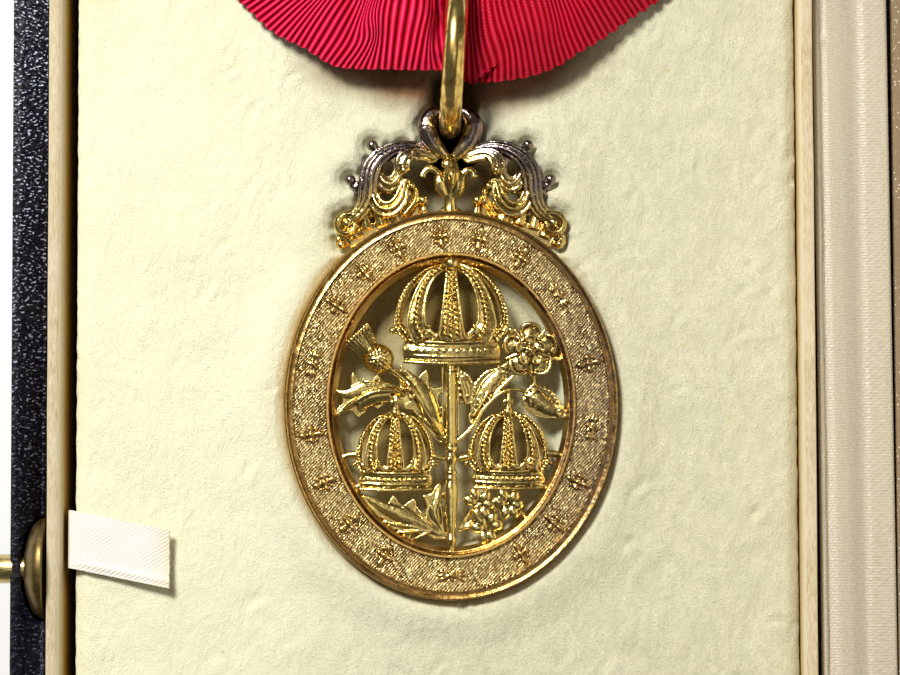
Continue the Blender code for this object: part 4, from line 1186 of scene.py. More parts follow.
def oval_frame():
    """A wire oval, drawn up and in through the frame's section, its band hatched."""
    rows = [(BAND_OUTER + (BAND_INNER - BAND_OUTER) * (row + 0.5) / BAND_ROWS, 2.60)
            for row in range(BAND_ROWS)]
    section = FRAME_OUTER + rows + FRAME_INNER
    first_in, first_up = section[0]
    let_go()
    bpy.ops.mesh.primitive_circle_add(vertices=FRAME_STEPS, radius=1.0, fill_type="NOTHING",
                                      location=spot(0.0, 0.0, first_up))
    piece = added("oval_frame")
    half = [OVAL_A - first_in * MM, OVAL_B - first_in * MM]
    piece.scale = (half[0], half[1], 1.0)
    bpy.ops.object.transform_apply()
    open_up(piece)
    pick_all()
    for (last_in, last_up), (inset, up) in zip(section, section[1:]):
        draw_out(0.0, 0.0, (up - last_up) * MM)
        step = (inset - last_in) * MM
        bpy.ops.transform.resize(value=((half[0] - step) / half[0], (half[1] - step) / half[1], 1.0),
                                 center_override=MIDDLE)
        half = [half[0] - step, half[1] - step]
    pick(piece, "EDGE", lambda edge: edge.is_boundary)
    bpy.ops.mesh.bridge_edge_loops()
    close_up()
    settle(piece)

    def chase(place):
        x, y = place.x - MIDDLE.x, place.y - MIDDLE.y
        top = place.z > MIDDLE.z + 2.5 * MM
        if top and BAND_OUTER + 0.04 < inset_of(place) < BAND_INNER - 0.04:
            return place + UP * hatch(x, y)
        knock = soft_noise(x, y, 1.4 * MM, 8.0) * 0.022 * MM
        return place + UP * knock if top else place

    sculpt(piece, chase)
    smooth(piece, 35)
    return piece


def on_band(piece, place, inset=3.0):
    """Move an ornament modelled at the oval's middle out to its place on the band, head outwards."""
    turn = radians(place)
    out = Vector((cos(turn) * (OVAL_A / MM - inset), sin(turn) * (OVAL_B / MM - inset)))
    lean = atan2(sin(turn) * OVAL_A, cos(turn) * OVAL_B) - pi / 2
    piece.data.transform(Matrix.Translation(spot(out.x, out.y, 0.0))
                         @ Matrix.Rotation(lean, 4, "Z") @ Matrix.Translation(-MIDDLE))
    return piece


def sprig():
    """A five-petalled flower between two pairs of leaves."""
    high = 2.72
    pieces = [ball(0.0, 0.0, high + 0.1, 0.26, 0.8)]
    for turn, c, s in fan(5):
        pieces.append(ball(0.46 * c, 0.46 * s, high, 0.27, 0.65, 1.25, turn))
    for side in (-1, 1):
        for rise, reach in ((0.55, 1.75), (-0.50, 1.60), (0.02, 2.05)):
            pieces.append(bar([(0.5 * side, rise * 0.3, high, 0.08),
                               (1.1 * side, rise * 0.8, high + 0.06, 0.24),
                               (reach * side, rise * 1.3, high - 0.04, 0.05)], 0.7, 1))
    return pieces


def rosette():
    """A plain four-leaved ornament with a lozenge boss, longer up and down than across."""
    high = 2.78
    pieces = [ball(0.0, 0.0, high + 0.10, 0.38, 0.75)]
    for (_, c, s), reach in zip(fan(4, 0.0), (1.12, 1.62, 1.12, 1.62)):
        pieces.append(bar([(0.25 * c, 0.25 * s, high, 0.20),
                           (0.68 * reach * c, 0.68 * reach * s, high + 0.06, 0.36),
                           (reach * c, reach * s, high - 0.04, 0.10)], 0.7))
        pieces.append(ball(0.64 * (c - s), 0.64 * (c + s), high, 0.22, 0.8))
    return pieces


# The crest's left side. Each path is (across, up, above, radius); the right side is its mirror.
LOOP_LOBE = [(-0.10, 29.5, 1.6, 0.46), (-1.45, 30.8, 1.75, 0.90), (-2.45, 32.2, 1.8, 1.18),
             (-2.80, 33.7, 1.8, 1.22), (-2.25, 34.9, 1.75, 1.00), (-1.15, 35.50, 1.7, 0.62),
             (0.0, 35.58, 1.7, 0.50)]
MAIN_SCROLL = [(-2.0, 30.0, 1.6, 0.30), (-3.7, 31.0, 1.6, 0.52), (-5.7, 31.15, 1.7, 0.70),
               (-7.7, 30.45, 1.7, 0.90), (-9.1, 29.2, 1.7, 1.05), (-9.75, 27.6, 1.65, 1.10),
               (-9.95, 25.8, 1.6, 1.08), (-10.25, 24.3, 1.6, 0.98), (-11.2, 22.9, 1.6, 0.80),
               (-12.1, 22.3, 1.6, 0.55)]
FOOT_VOLUTE = [(-11.0, 22.8, 1.7, 0.55), (-12.4, 23.0, 1.9, 0.46), (-13.3, 22.5, 1.9, 0.48),
               (-13.5, 21.5, 1.9, 0.50), (-12.8, 20.75, 1.9, 0.48), (-11.7, 21.1, 1.9, 0.46),
               (-11.5, 21.9, 1.9, 0.40)]
FOOT_TAIL = [(-12.9, 20.9, 1.5, 0.50), (-13.4, 20.0, 1.5, 0.48), (-13.1, 19.2, 1.5, 0.48),
             (-12.3, 19.7, 1.5, 0.42)]
LOW_VOLUTE = [(-9.6, 26.6, 1.7, 0.35), (-9.3, 25.4, 1.8, 0.66), (-8.8, 24.1, 1.85, 0.88),
              (-7.5, 23.5, 1.9, 0.98), (-6.2, 24.4, 2.0, 0.86), (-5.65, 25.8, 2.05, 0.66),
              (-5.3, 26.8, 2.1, 0.46), (-4.6, 26.5, 2.1, 0.38)]
LOW_VOLUTE_CHEEK = [(-5.2, 26.6, 1.8, 0.40), (-4.35, 26.1, 1.8, 0.44), (-4.2, 24.8, 1.8, 0.46),
                    (-4.9, 23.7, 1.7, 0.50), (-5.6, 22.9, 1.6, 0.60)]
HIGH_ARCH = [(-1.6, 29.4, 1.8, 0.30), (-2.8, 30.1, 1.9, 0.42), (-4.2, 30.35, 2.0, 0.55),
             (-5.3, 29.8, 2.1, 0.86), (-5.75, 28.9, 2.1, 0.92), (-5.5, 28.0, 2.1, 0.62)]
HIGH_ARCH_CURL = [(-2.0, 29.2, 2.0, 0.26), (-3.1, 29.5, 2.1, 0.30), (-4.2, 29.6, 2.2, 0.30)]
CRESCENT = [(-8.6, 28.6, 1.8, 0.34), (-8.3, 27.4, 1.9, 0.44), (-7.4, 26.6, 2.0, 0.48),
            (-6.5, 27.0, 2.0, 0.42), (-6.1, 27.8, 2.0, 0.30)]
CRESCENT_LEAF = [(-8.9, 27.6, 1.7, 0.40), (-8.2, 26.2, 1.8, 0.50), (-7.0, 25.9, 1.8, 0.40),
                 (-6.3, 26.5, 1.8, 0.34)]
RIM_CURL = [(-5.6, 23.4, 1.7, 0.40), (-4.5, 24.1, 1.8, 0.40), (-3.9, 24.5, 1.9, 0.36)]
LINKS = [[(-8.8, 23.6, 1.3, 0.70), (-8.2, 21.7, 1.3, 0.80)],
         [(-10.6, 24.0, 1.3, 0.60), (-10.0, 21.2, 1.3, 0.75)],
         [(-6.9, 23.6, 1.3, 0.80), (-6.2, 22.2, 1.3, 0.90)],
         [(-11.9, 21.8, 1.3, 0.70), (-11.2, 20.2, 1.3, 0.80)],
         [(-5.6, 30.9, 1.4, 0.50), (-5.3, 29.8, 1.4, 0.50)],
         [(-3.3, 24.4, 1.5, 0.40), (-3.1, 23.0, 1.5, 0.55)],
         [(-9.6, 28.0, 1.4, 0.60), (-8.2, 27.2, 1.4, 0.50)]]
CREST_BALLS = [(-9.35, 31.3, 1.7, 0.70), (-12.05, 27.15, 1.7, 0.68), (-13.1, 19.3, 1.8, 0.56),
               (-3.25, 24.6, 2.0, 0.66), (-5.55, 28.2, 2.5, 0.52), (-4.6, 26.3, 2.4, 0.44),
               (-12.4, 21.9, 1.7, 0.62)]
CREST_STEMS = [[(-9.3, 31.2, 1.6, 0.42), (-8.5, 30.5, 1.6, 0.55)],
               [(-12.0, 27.0, 1.6, 0.42), (-11.5, 26.3, 1.6, 0.45), (-10.9, 26.7, 1.6, 0.50)],
               [(-11.5, 25.2, 1.5, 0.30), (-10.9, 25.8, 1.5, 0.50)]]
PALMETTE = [[(0.0, 22.9, 1.8, 0.95), (0.0, 24.3, 2.0, 0.66), (0.0, 25.5, 2.1, 0.62),
             (0.1, 26.6, 2.3, 1.02), (0.15, 27.7, 2.5, 1.16), (0.1, 28.7, 2.4, 0.90),
             (0.0, 29.7, 2.0, 0.52)],
            [(-0.6, 26.9, 2.2, 0.42), (-1.5, 27.9, 2.3, 0.44), (-2.5, 28.4, 2.3, 0.42),
             (-3.2, 27.9, 2.3, 0.44), (-3.35, 27.35, 2.3, 0.50)],
            [(0.7, 26.9, 2.2, 0.42), (1.5, 27.8, 2.3, 0.42), (2.3, 28.2, 2.3, 0.42),
             (2.8, 27.8, 2.3, 0.46), (2.95, 27.3, 2.3, 0.54)],
            [(-0.2, 25.0, 2.0, 0.46), (-1.0, 25.8, 2.3, 0.80), (-1.2, 26.8, 2.4, 0.82),
             (-1.45, 27.6, 2.4, 0.5)],
            [(0.2, 25.0, 2.0, 0.46), (0.9, 25.8, 2.3, 0.78), (1.1, 26.8, 2.4, 0.80),
             (1.45, 27.6, 2.4, 0.5)],
            [(0.15, 26.4, 3.2, 0.30), (0.2, 27.5, 3.5, 0.42), (0.15, 28.5, 3.1, 0.28)],
            [(-1.3, 23.0, 1.7, 0.42), (-0.2, 23.7, 1.9, 0.50)],
            [(1.3, 23.0, 1.7, 0.42), (0.2, 23.7, 1.9, 0.50)]]
# The plate behind the scrolls, and the openings cut through it: across, up, half width, half height.
CREST_PLATE = [(-1.2, 30.3), (-2.6, 30.9), (-4.0, 31.2), (-6.7, 31.2), (-9.0, 30.0), (-10.4, 27.8),
               (-10.7, 25.3), (-10.9, 23.4), (-12.9, 22.3), (-12.9, 20.6), (-12.0, 18.9), (-8.0, 21.0),
               (-4.0, 22.4), (-3.4, 22.9), (-3.7, 24.3), (-4.2, 25.6), (-5.0, 27.0), (-5.9, 27.5),
               (-5.5, 28.3), (-5.2, 29.3), (-3.8, 29.8), (-2.3, 29.2)]
CREST_OPENINGS = [(-7.45, 28.55, 0.62, 0.95), (-7.65, 25.15, 0.95, 0.48), (-9.35, 22.35, 0.45, 0.42),
                  (-8.5, 26.9, 0.35, 0.45), (-4.75, 24.6, 0.36, 0.62)]


def mirrored(path):
    return [(-point[0], *point[1:]) for point in path]


def crest_plate(turned):
    piece = leaf_body(turned(CREST_PLATE), 0.75, 1.45)
    for across, up, wide, tall in turned(CREST_OPENINGS):
        let_go()
        bpy.ops.mesh.primitive_cylinder_add(vertices=20, radius=1.0, depth=4 * MM,
                                            location=spot(across, up, 1.0))
        hole = bpy.context.active_object
        hole.scale = (wide * MM, tall * MM, 1.0)
        combine(piece, settle(hole), "DIFFERENCE")
    return piece


def crest():
    """Scrolls, volutes, a palmette and the loop, cast as one."""
    pieces = []
    for turned in (list, mirrored):
        pieces.append(crest_plate(turned))
        pieces.append(bar(turned(LOOP_LOBE), 0.95, 4, 8))
        pieces += fluted(turned(MAIN_SCROLL), 4, 0.85)
        pieces += fluted(turned(LOW_VOLUTE), 3, 0.8)
        pieces += fluted(turned(LOW_VOLUTE_CHEEK), 1)
        pieces += fluted(turned(HIGH_ARCH), 2)
        pieces += fluted(turned(FOOT_VOLUTE), 1)
        for path in (FOOT_TAIL, HIGH_ARCH_CURL, CRESCENT, CRESCENT_LEAF, RIM_CURL, *LINKS, *CREST_STEMS):
            pieces.append(bar(turned(path), 0.85))
        pieces += [ball(*place) for place in turned(CREST_BALLS)]
    pieces += [bar(path, 0.9) for path in PALMETTE]
    pieces.append(ball(-0.3, 28.9, 2.5, 0.62, 0.8, 1.3))
    return cast("crest", pieces, 0.10 * MM, 1, 0.5)


# The three crowns: places and sizes in the badge's millimetres.
CROWNS = [dict(x=0.10, foot=5.05, band_half=5.45, band_tall=3.1, dome_half=6.60, dome_tall=8.6,
               bow=0.30, orb=0.85, cross=0.0),
          dict(x=-6.65, foot=-10.15, band_half=4.05, band_tall=2.5, dome_half=4.55, dome_tall=6.6,
               bow=0.20, orb=0.56, cross=0.85),
          dict(x=6.85, foot=-10.00, band_half=4.00, band_tall=2.5, dome_half=4.65, dome_tall=6.5,
               bow=0.20, orb=0.56, cross=0.85)]
# The arches, by how far they lean to the right or left: half width at the foot and at the top, rows of
# beads (the share of its half width, and how late the row starts), and their pitch and size.
ARCHES = {0.95: dict(foot=0.62, top=0.36, rows=((-0.95, 0.0), (-0.15, 0.5)), pitch=1.1, bead=1.1),
          0.64: dict(foot=1.42, top=0.40, rows=((0.0, 0.0),), pitch=1.45, bead=1.6),
          0.0: dict(foot=1.72, top=0.50, rows=((-0.46, 0.5), (0.46, 0.5), (0.0, 0.0)), pitch=1.45, bead=1.1)}
CROWN_LOW = 1.15
BEAD = 0.20
BEAD_PITCH = 0.43
JEWELS = 13
FESTOONS = 4


class Crown:
    """Five beaded arches over a jewelled band, with an orb on top. Sizes are in millimetres."""

    def __init__(self, plan):
        self.plan, self.x, self.tall = plan, plan["x"], plan["dome_tall"]
        self.half, self.band_half = plan["dome_half"], plan["band_half"]
        self.size = self.half / 6.55
        self.fine = 0.5 + 0.5 * self.size
        self.shoulder = plan["foot"] + plan["band_tall"]
        self.pieces, self.pearls = [], []
        for lean in (-0.95, -0.64, 0.0, 0.64, 0.95):
            self.arch(lean)
        self.band()
        for number in range(FESTOONS):
            self.festoon(number)
        for side in (-1, 1):
            self.corner(side)
        self.top()

    def metal(self, path, flat=1.0, sides=2):
        self.pieces.append(bar(path, flat, sides))

    def front(self, share, part, round_off):
        """How high the rounded front stands, at a share from -1 at its left to 1 at its right."""
        bulge = 0.24 * self.half * sqrt(max(1 - round_off * share * share, 0.0))
        return CROWN_LOW + part * bulge

    def arch_place(self, lean, share):
        if share < 0.18:
            narrow = self.band_half * 0.95
            width = narrow + (self.half - narrow) * ease(-0.05, 0.18, share)
        else:
            width = self.half * sqrt(max(1 - ((share - 0.18) / 0.83) ** 2, 0.0))
        above = self.front(lean, (width / self.half) ** 0.5, 0.85)
        return self.x + lean * width, self.shoulder + share * self.tall, above

    def arch(self, lean):
        """A flat strap with a web under it, wires along its edges, rows of beads, and a ball below."""
        shape, outermost = ARCHES[abs(lean)], abs(lean) > 0.9
        hand = -1 if lean < 0 else 1
        path = []
        for step in range(12):
            share = step / 11
            wide = (shape["foot"] + (shape["top"] - shape["foot"]) * share ** 0.85) * self.size
            path.append((*self.arch_place(lean, share), wide))
        self.metal(path, 0.28)
        self.metal([(across, up, above - 0.50, wide * 0.60) for across, up, above, wide in path])
        for side in (-1, 1):
            if not (outermost and side * lean > 0):
                self.metal([(*place[:3], 0.11 + 0.03 * self.size)
                            for place in shifted(path, 0.90 * side, 0.30)], sides=1)
        pitch = BEAD_PITCH * self.fine * shape["pitch"]
        for share, late in shape["rows"]:
            for across, up, above in spaced(shifted(path, hand * share, 0.35), pitch)[:-1]:
                shrink = 1 - 0.25 * (up - self.shoulder) / self.tall
                self.pearls.append((across, up + late * pitch, above + 0.06,
                                    BEAD * self.fine * shape["bead"] * shrink))
        if not outermost:
            across, up, above = self.arch_place(lean, 0.03)
            self.pieces.append(ball(across, up + 0.70 * self.size, above + 0.10, 0.78 * self.size,
                                    0.45, 1.15))

    def band_line(self, rise, radius, reach, out):
        line = []
        for step in range(9):
            share = step / 4 - 1
            line.append((self.x + share * self.band_half * reach,
                         self.plan["foot"] + rise - self.plan["bow"] * (1 - share * share),
                         self.front(share, 0.62, 0.92) + out, radius))
        return line

    def band(self):
        """Wires round the band, its broad middle, and jewels with pairs of pearls between them."""
        fine, tall = self.fine, self.plan["band_tall"]
        for rise, radius, reach, out, flat, sides in (
                (0.22 * fine, 0.26 * fine, 1.06, 0.25, 0.9, 2),
                (0.75 * fine, 0.18 * fine, 1.0, 0.10, 0.8, 1),
                (1.02 * fine, 0.13 * fine, 1.0, 0.22, 0.9, 1),
                (0.50 * tall, 0.50 * tall, 0.92, -0.25, 0.38, 2),
                (0.74 * tall, 0.12 * fine, 0.97, 0.20, 0.9, 1),
                (0.88 * tall, 0.27 * fine, 0.97, 0.18, 0.9, 2),
                (1.12 * tall, 0.55 * fine, 0.93, -0.25, 0.5, 2)):
            self.metal(self.band_line(rise, radius, reach, out), flat, sides)
        for number in range(JEWELS):
            share = (2 * number / (JEWELS - 1) - 1) * 0.90
            x, above = self.x + share * self.band_half, self.front(share, 0.62, 0.92) + 0.28
            up = self.plan["foot"] + tall * 0.55 - self.plan["bow"] * (1 - share * share)
            if number % 3:
                self.pearls.append((x, up, above, 0.15 * fine))
            else:
                self.pieces.append(ball(x, up, above - 0.04, 0.20 * fine, 0.7, 1.7))

    def festoon(self, number):
        """Two wires that hang over the band's top from pearl to pearl."""
        left, right = ((2 * end / FESTOONS - 1) * 0.98 for end in (number, number + 1))
        for drop, thick in ((0.0, 0.13), (0.32, 0.16)):
            arc = []
            for step in range(7):
                share = left + (right - left) * step / 6
                sag = 0.85 * sin(pi * step / 6) ** 0.8
                arc.append((self.x + share * self.band_half,
                            self.shoulder + (1.05 - sag - drop) * self.size,
                            self.front(share, 0.75, 0.9) + 0.42, thick * self.fine))
            self.metal(arc, sides=1)
        if number:
            self.pearls.append((self.x + left * self.band_half, self.shoulder + 1.25 * self.size,
                                self.front(left, 0.75, 0.9) + 0.5, 0.24 * self.fine))

    def corner(self, side):
        """Two pearls where the outer arch leaves the band."""
        across, up, above = self.arch_place(side, 0.10)
        size, fine = self.size, self.fine
        self.pearls += [(across + side * 0.15 * size, up - 0.1, above, 0.48 * size),
                        (across + side * 0.85 * size, up - 0.05, above - 0.05, 0.44 * size)]
        self.metal([(across - side * 0.2, up - 0.3, above, 0.32 * fine),
                    (self.x + side * self.band_half * 0.93, self.shoulder - 0.2, above - 0.2, 0.36 * fine)])

    def top(self):
        """The orb, and the small crowns' cross."""
        x, top, high = self.x, self.shoulder + self.tall, self.front(0.0, 0.75, 1.0)
        reach = self.plan["cross"]
        self.pieces.append(ball(x, top + 0.25 * self.size, high, self.plan["orb"], 1.0, 1.15))
        if reach:
            middle = top + 0.62 + reach * 0.6
            self.metal([(x, top, high, 0.46), (x, middle, high, 0.42),
                        (x, middle + reach * 0.6, high, 0.52)], 0.9)
            self.metal([(x - reach * 0.7, middle + 0.30, high, 0.40), (x, middle + 0.15, high, 0.36),
                        (x + reach * 0.7, middle + 0.30, high, 0.40)], 0.9)


def crowns():
    pieces = []
    for plan in CROWNS:
        crown = Crown(plan)
        pieces += crown.pieces + beads(crown.pearls)
    return cast("crowns", pieces, 0.08 * MM, 1, 0.42)


# The sceptre's rod: up, and radius
ROD = [(3.9, 0.62), (-4.4, 0.62), (-4.75, 0.58), (-5.05, 0.80), (-5.4, 0.84), (-5.7, 0.56), (-6.05, 0.66),
       (-6.4, 0.86), (-6.75, 0.64), (-7.2, 0.52), (-7.7, 0.56), (-8.05, 0.80), (-8.4, 0.58), (-8.75, 0.76),
       (-9.1, 0.64), (-9.6, 0.82), (-10.4, 0.86), (-12.5, 0.74), (-15.0, 0.54), (-15.4, 0.46),
       (-16.1, 0.72), (-16.8, 0.48), (-17.8, 0.44)]
# Outlines of the leaves
HOLLY_LEAF = [(-13.8, 1.85), (-12.5, 1.7), (-11.8, 2.5), (-11.75, 3.9), (-11.2, 3.0), (-10.3, 2.45),
              (-9.4, 2.6), (-8.8, 3.7), (-8.4, 2.8), (-7.6, 2.1), (-6.2, 2.2), (-4.6, 0.6), (-5.6, 0.0),
              (-6.4, 1.0), (-7.9, 0.6), (-8.75, -0.4), (-9.1, -0.1), (-9.9, -0.1), (-11.1, -1.4),
              (-11.7, -0.65), (-12.6, -0.6), (-13.9, -1.1), (-12.9, 0.2), (-13.0, 1.1)]
BIG_LEAF = [(-5.9, 4.8), (-5.1, 3.6), (-3.9, 3.2), (-2.9, 4.2), (-2.8, 2.7), (-2.05, 2.05), (-0.8, 2.0),
            (-0.8, 1.7), (-1.35, 1.45), (-1.6, 0.8), (-1.45, -0.2), (-0.8, -0.45), (-0.8, -0.75),
            (-1.4, -1.1), (-1.6, -1.9), (-1.2, -2.6), (-0.7, -2.9), (-0.5, -4.6), (-2.5, -3.1),
            (-3.7, -1.7), (-4.5, -0.5), (-5.7, -0.2), (-4.6, 0.4), (-6.1, 2.5)]
ROSE_LEAF = [(6.5, 4.9), (5.5, 4.35), (4.5, 4.15), (3.4, 3.2), (3.0, 2.6), (2.4, 0.4), (2.4, -0.6),
             (2.3, -2.2), (3.0, -1.4), (3.9, 0.1), (5.2, 1.45), (6.5, 2.5), (6.6, 3.6)]
BUD_LEAF = [(0.5, 4.4), (1.2, 4.1), (2.0, 3.7), (2.5, 2.8), (3.0, 2.2), (2.5, 0.2), (1.6, 0.2), (0.6, 0.5)]
ROUND_LEAF = [(10.0, 2.5), (9.2, 1.85), (8.7, 0.85), (8.7, 0.0), (9.3, -0.9), (10.4, -1.4), (11.3, -1.55),
              (12.6, -1.6), (13.8, -1.5), (13.3, -0.3), (12.6, 0.75), (12.0, 1.6), (10.95, 2.1)]
LOW_LEAF = [(-10.6, -10.8), (-8.7, -11.2), (-7.5, -11.8), (-6.9, -10.8), (-6.4, -11.5), (-5.6, -12.0),
            (-4.4, -11.2), (-4.3, -12.4), (-3.7, -13.8), (-2.6, -14.5), (-0.6, -15.5), (-0.8, -16.0),
            (-2.9, -15.4), (-4.8, -15.3), (-5.35, -16.8), (-5.6, -15.4), (-6.7, -14.7), (-7.6, -15.6),
            (-7.4, -14.2), (-8.5, -13.3), (-9.6, -14.0), (-9.6, -12.6)]
SIDE_LEAF = [(-3.3, -10.8), (-2.3, -10.6), (-1.4, -9.4), (-1.2, -10.4), (-0.7, -11.0), (-1.25, -11.6),
             (-1.4, -12.4), (-0.7, -13.0), (-1.2, -13.5), (-1.3, -14.2), (-0.6, -15.4), (-2.1, -14.1),
             (-3.1, -13.0), (-2.8, -12.2)]
# The middles of each trefoil's leaves, and the place where their stalks meet
TREFOILS = [[(2.55, -11.0), (4.25, -11.4), (3.55, -12.95)],
            [(5.95, -11.15), (7.65, -11.45), (6.95, -12.8)],
            [(3.3, -14.2), (5.15, -14.0), (4.35, -15.75)]]
TREFOIL_ROOT = (0.9, -14.9)
THISTLE = (-8.6, 5.55)
THISTLE_RADIUS = 1.62
ROSE = (9.52, 6.52)
# Short bars that tie the flowers, leaves and crowns to the rod and to the frame
TIES = [[(-14.2, -6.9, 1.5, 0.5), (-12.4, -6.0, 1.8, 0.42), (-11.2, -5.9, 2.0, 0.5)],
        [(-2.2, -6.1, 2.0, 0.42), (-0.9, -6.4, 2.0, 0.36)],
        [(0.9, -6.4, 2.0, 0.36), (2.3, -6.1, 2.0, 0.42)],
        [(11.4, -5.8, 2.0, 0.5), (12.6, -5.9, 1.8, 0.42), (14.1, -6.3, 1.5, 0.5)],
        [(10.8, -9.5, 1.5, 0.42), (12.2, -10.6, 1.4, 0.45)],
        [(-10.8, -9.6, 1.5, 0.42), (-12.4, -10.1, 1.4, 0.45)],
        [(0.15, 16.8, 1.7, 0.7), (0.15, 18.2, 1.6, 0.8)],
        [(-13.6, 7.4, 1.4, 0.45), (-12.3, 7.4, 1.5, 0.35)],
        [(13.2, -1.5, 1.5, 0.4), (14.2, -1.2, 1.5, 0.4)],
        [(-14.2, 1.8, 1.5, 0.3), (-13.4, 1.8, 1.5, 0.3)],
        [(-14.2, -1.2, 1.5, 0.3), (-13.4, -0.9, 1.5, 0.3)],
        [(0.0, 3.6, 2.0, 0.5), (0.0, 5.4, 1.8, 0.5)],
        [(-6.5, 1.2, 1.5, 0.35), (-6.6, -0.2, 1.8, 0.35)],
        [(6.9, 1.6, 1.6, 0.3), (6.9, 0.2, 1.8, 0.3)]]


def thistle():
    """The thistle's head, scales and stalk, and the two leaves beside it."""
    pieces = []
    x, y = THISTLE
    foot = (Vector((-10.2, 5.6)), Vector((-8.8, 7.2)))
    head = (Vector((-12.5, 7.3)), Vector((-10.0, 9.7)))
    for number in range(9):
        share = number / 8
        start, end = foot[0].lerp(foot[1], share), head[0].lerp(head[1], share)
        bulge = 0.5 * sin(pi * share)
        pieces.append(bar([(*start, 1.7 + bulge, 0.14), (*end, 1.6 + bulge, 0.22)], sides=1))
        pieces.append(ball(*end, 1.65 + bulge, 0.24))
    middle = foot[0].lerp(foot[1], 0.5)
    pieces.append(ball(*middle.lerp(head[0].lerp(head[1], 0.5), 0.45), 1.45, 1.15, 0.5, 1.2, 40))
    pieces.append(ball(x, y, 1.6, THISTLE_RADIUS, 0.75))
    scales = []
    for ring in range(1, 7):
        lean = ring * 0.24
        out = THISTLE_RADIUS * sin(lean)
        for number in range(5 * ring):
            turn = 2 * pi * (number + 0.5 * (ring % 2)) / (5 * ring)
            scales.append((x + out * cos(turn), y + out * sin(turn),
                           1.6 + 1.21 * cos(lean), 0.22))
    scales.append((x, y, 2.8, 0.22))
    pieces.append(bar([(-7.5, 4.6, 1.6, 0.44), (-5.4, 2.9, 1.8, 0.36), (-4.6, 1.9, 2.0, 0.36),
                       (-2.9, -0.8, 1.9, 0.30), (-0.5, -4.4, 1.9, 0.34)]))
    pieces += plate(HOLLY_LEAF) + plate(BIG_LEAF)
    pieces += [swelling((-0.9, -3.9, 0.30), (-2.2, -1.5, 0.95), (-3.2, 0.9, 1.15), (-4.2, 2.6, 0.75),
                        (-5.4, 4.2, 0.25)),
               swelling((-5.6, 1.6, 0.30), (-8.0, 2.2, 0.62), (-10.6, 2.0, 0.85), (-12.4, 1.4, 0.62),
                        (-13.6, 1.6, 0.25))]
    fold = [(-5.6, 1.3, 1.8, 0.25), (-7.4, 1.75, 2.1, 0.30), (-9.4, 1.5, 2.2, 0.34),
            (-11.2, 0.6, 2.0, 0.30), (-13.3, -0.85, 1.7, 0.12)]
    pieces.append(bar(fold))
    for share, thick in ((0.45, 0.52), (0.9, 0.46)):
        pieces.append(bar([(across + 0.3 * share, up - share, above - 0.25 * share, thick * radius / 0.34)
                           for across, up, above, radius in fold[1:4]], 0.6))
    pieces += veins((-6.0, 1.9), [(-11.6, 3.4), (-8.9, 3.2), (-13.3, 1.7)], 1.7, 0.112)
    pieces += veins((-1.2, -3.6), [(-5.5, 3.9), (-3.0, 3.7), (-2.2, 1.8), (-4.9, -0.2)])
    pieces += beads([(-5.9, 2.05, 2.2, 0.34), (-5.1, 1.95, 2.2, 0.36), (-4.7, 0.9, 2.2, 0.34)])
    return pieces + beads(scales)


def petal_edge(x, y, radius, middle, spread, steps, above, thick, arch=0.0):
    """A rolled edge round the outer side of a petal."""
    edge = []
    for step in range(steps + 1):
        lean = radians(middle - spread + 2 * spread * step / steps)
        edge.append((x + radius * cos(lean), y + radius * sin(lean),
                     above + arch * sin(pi * step / steps), thick))
    return edge


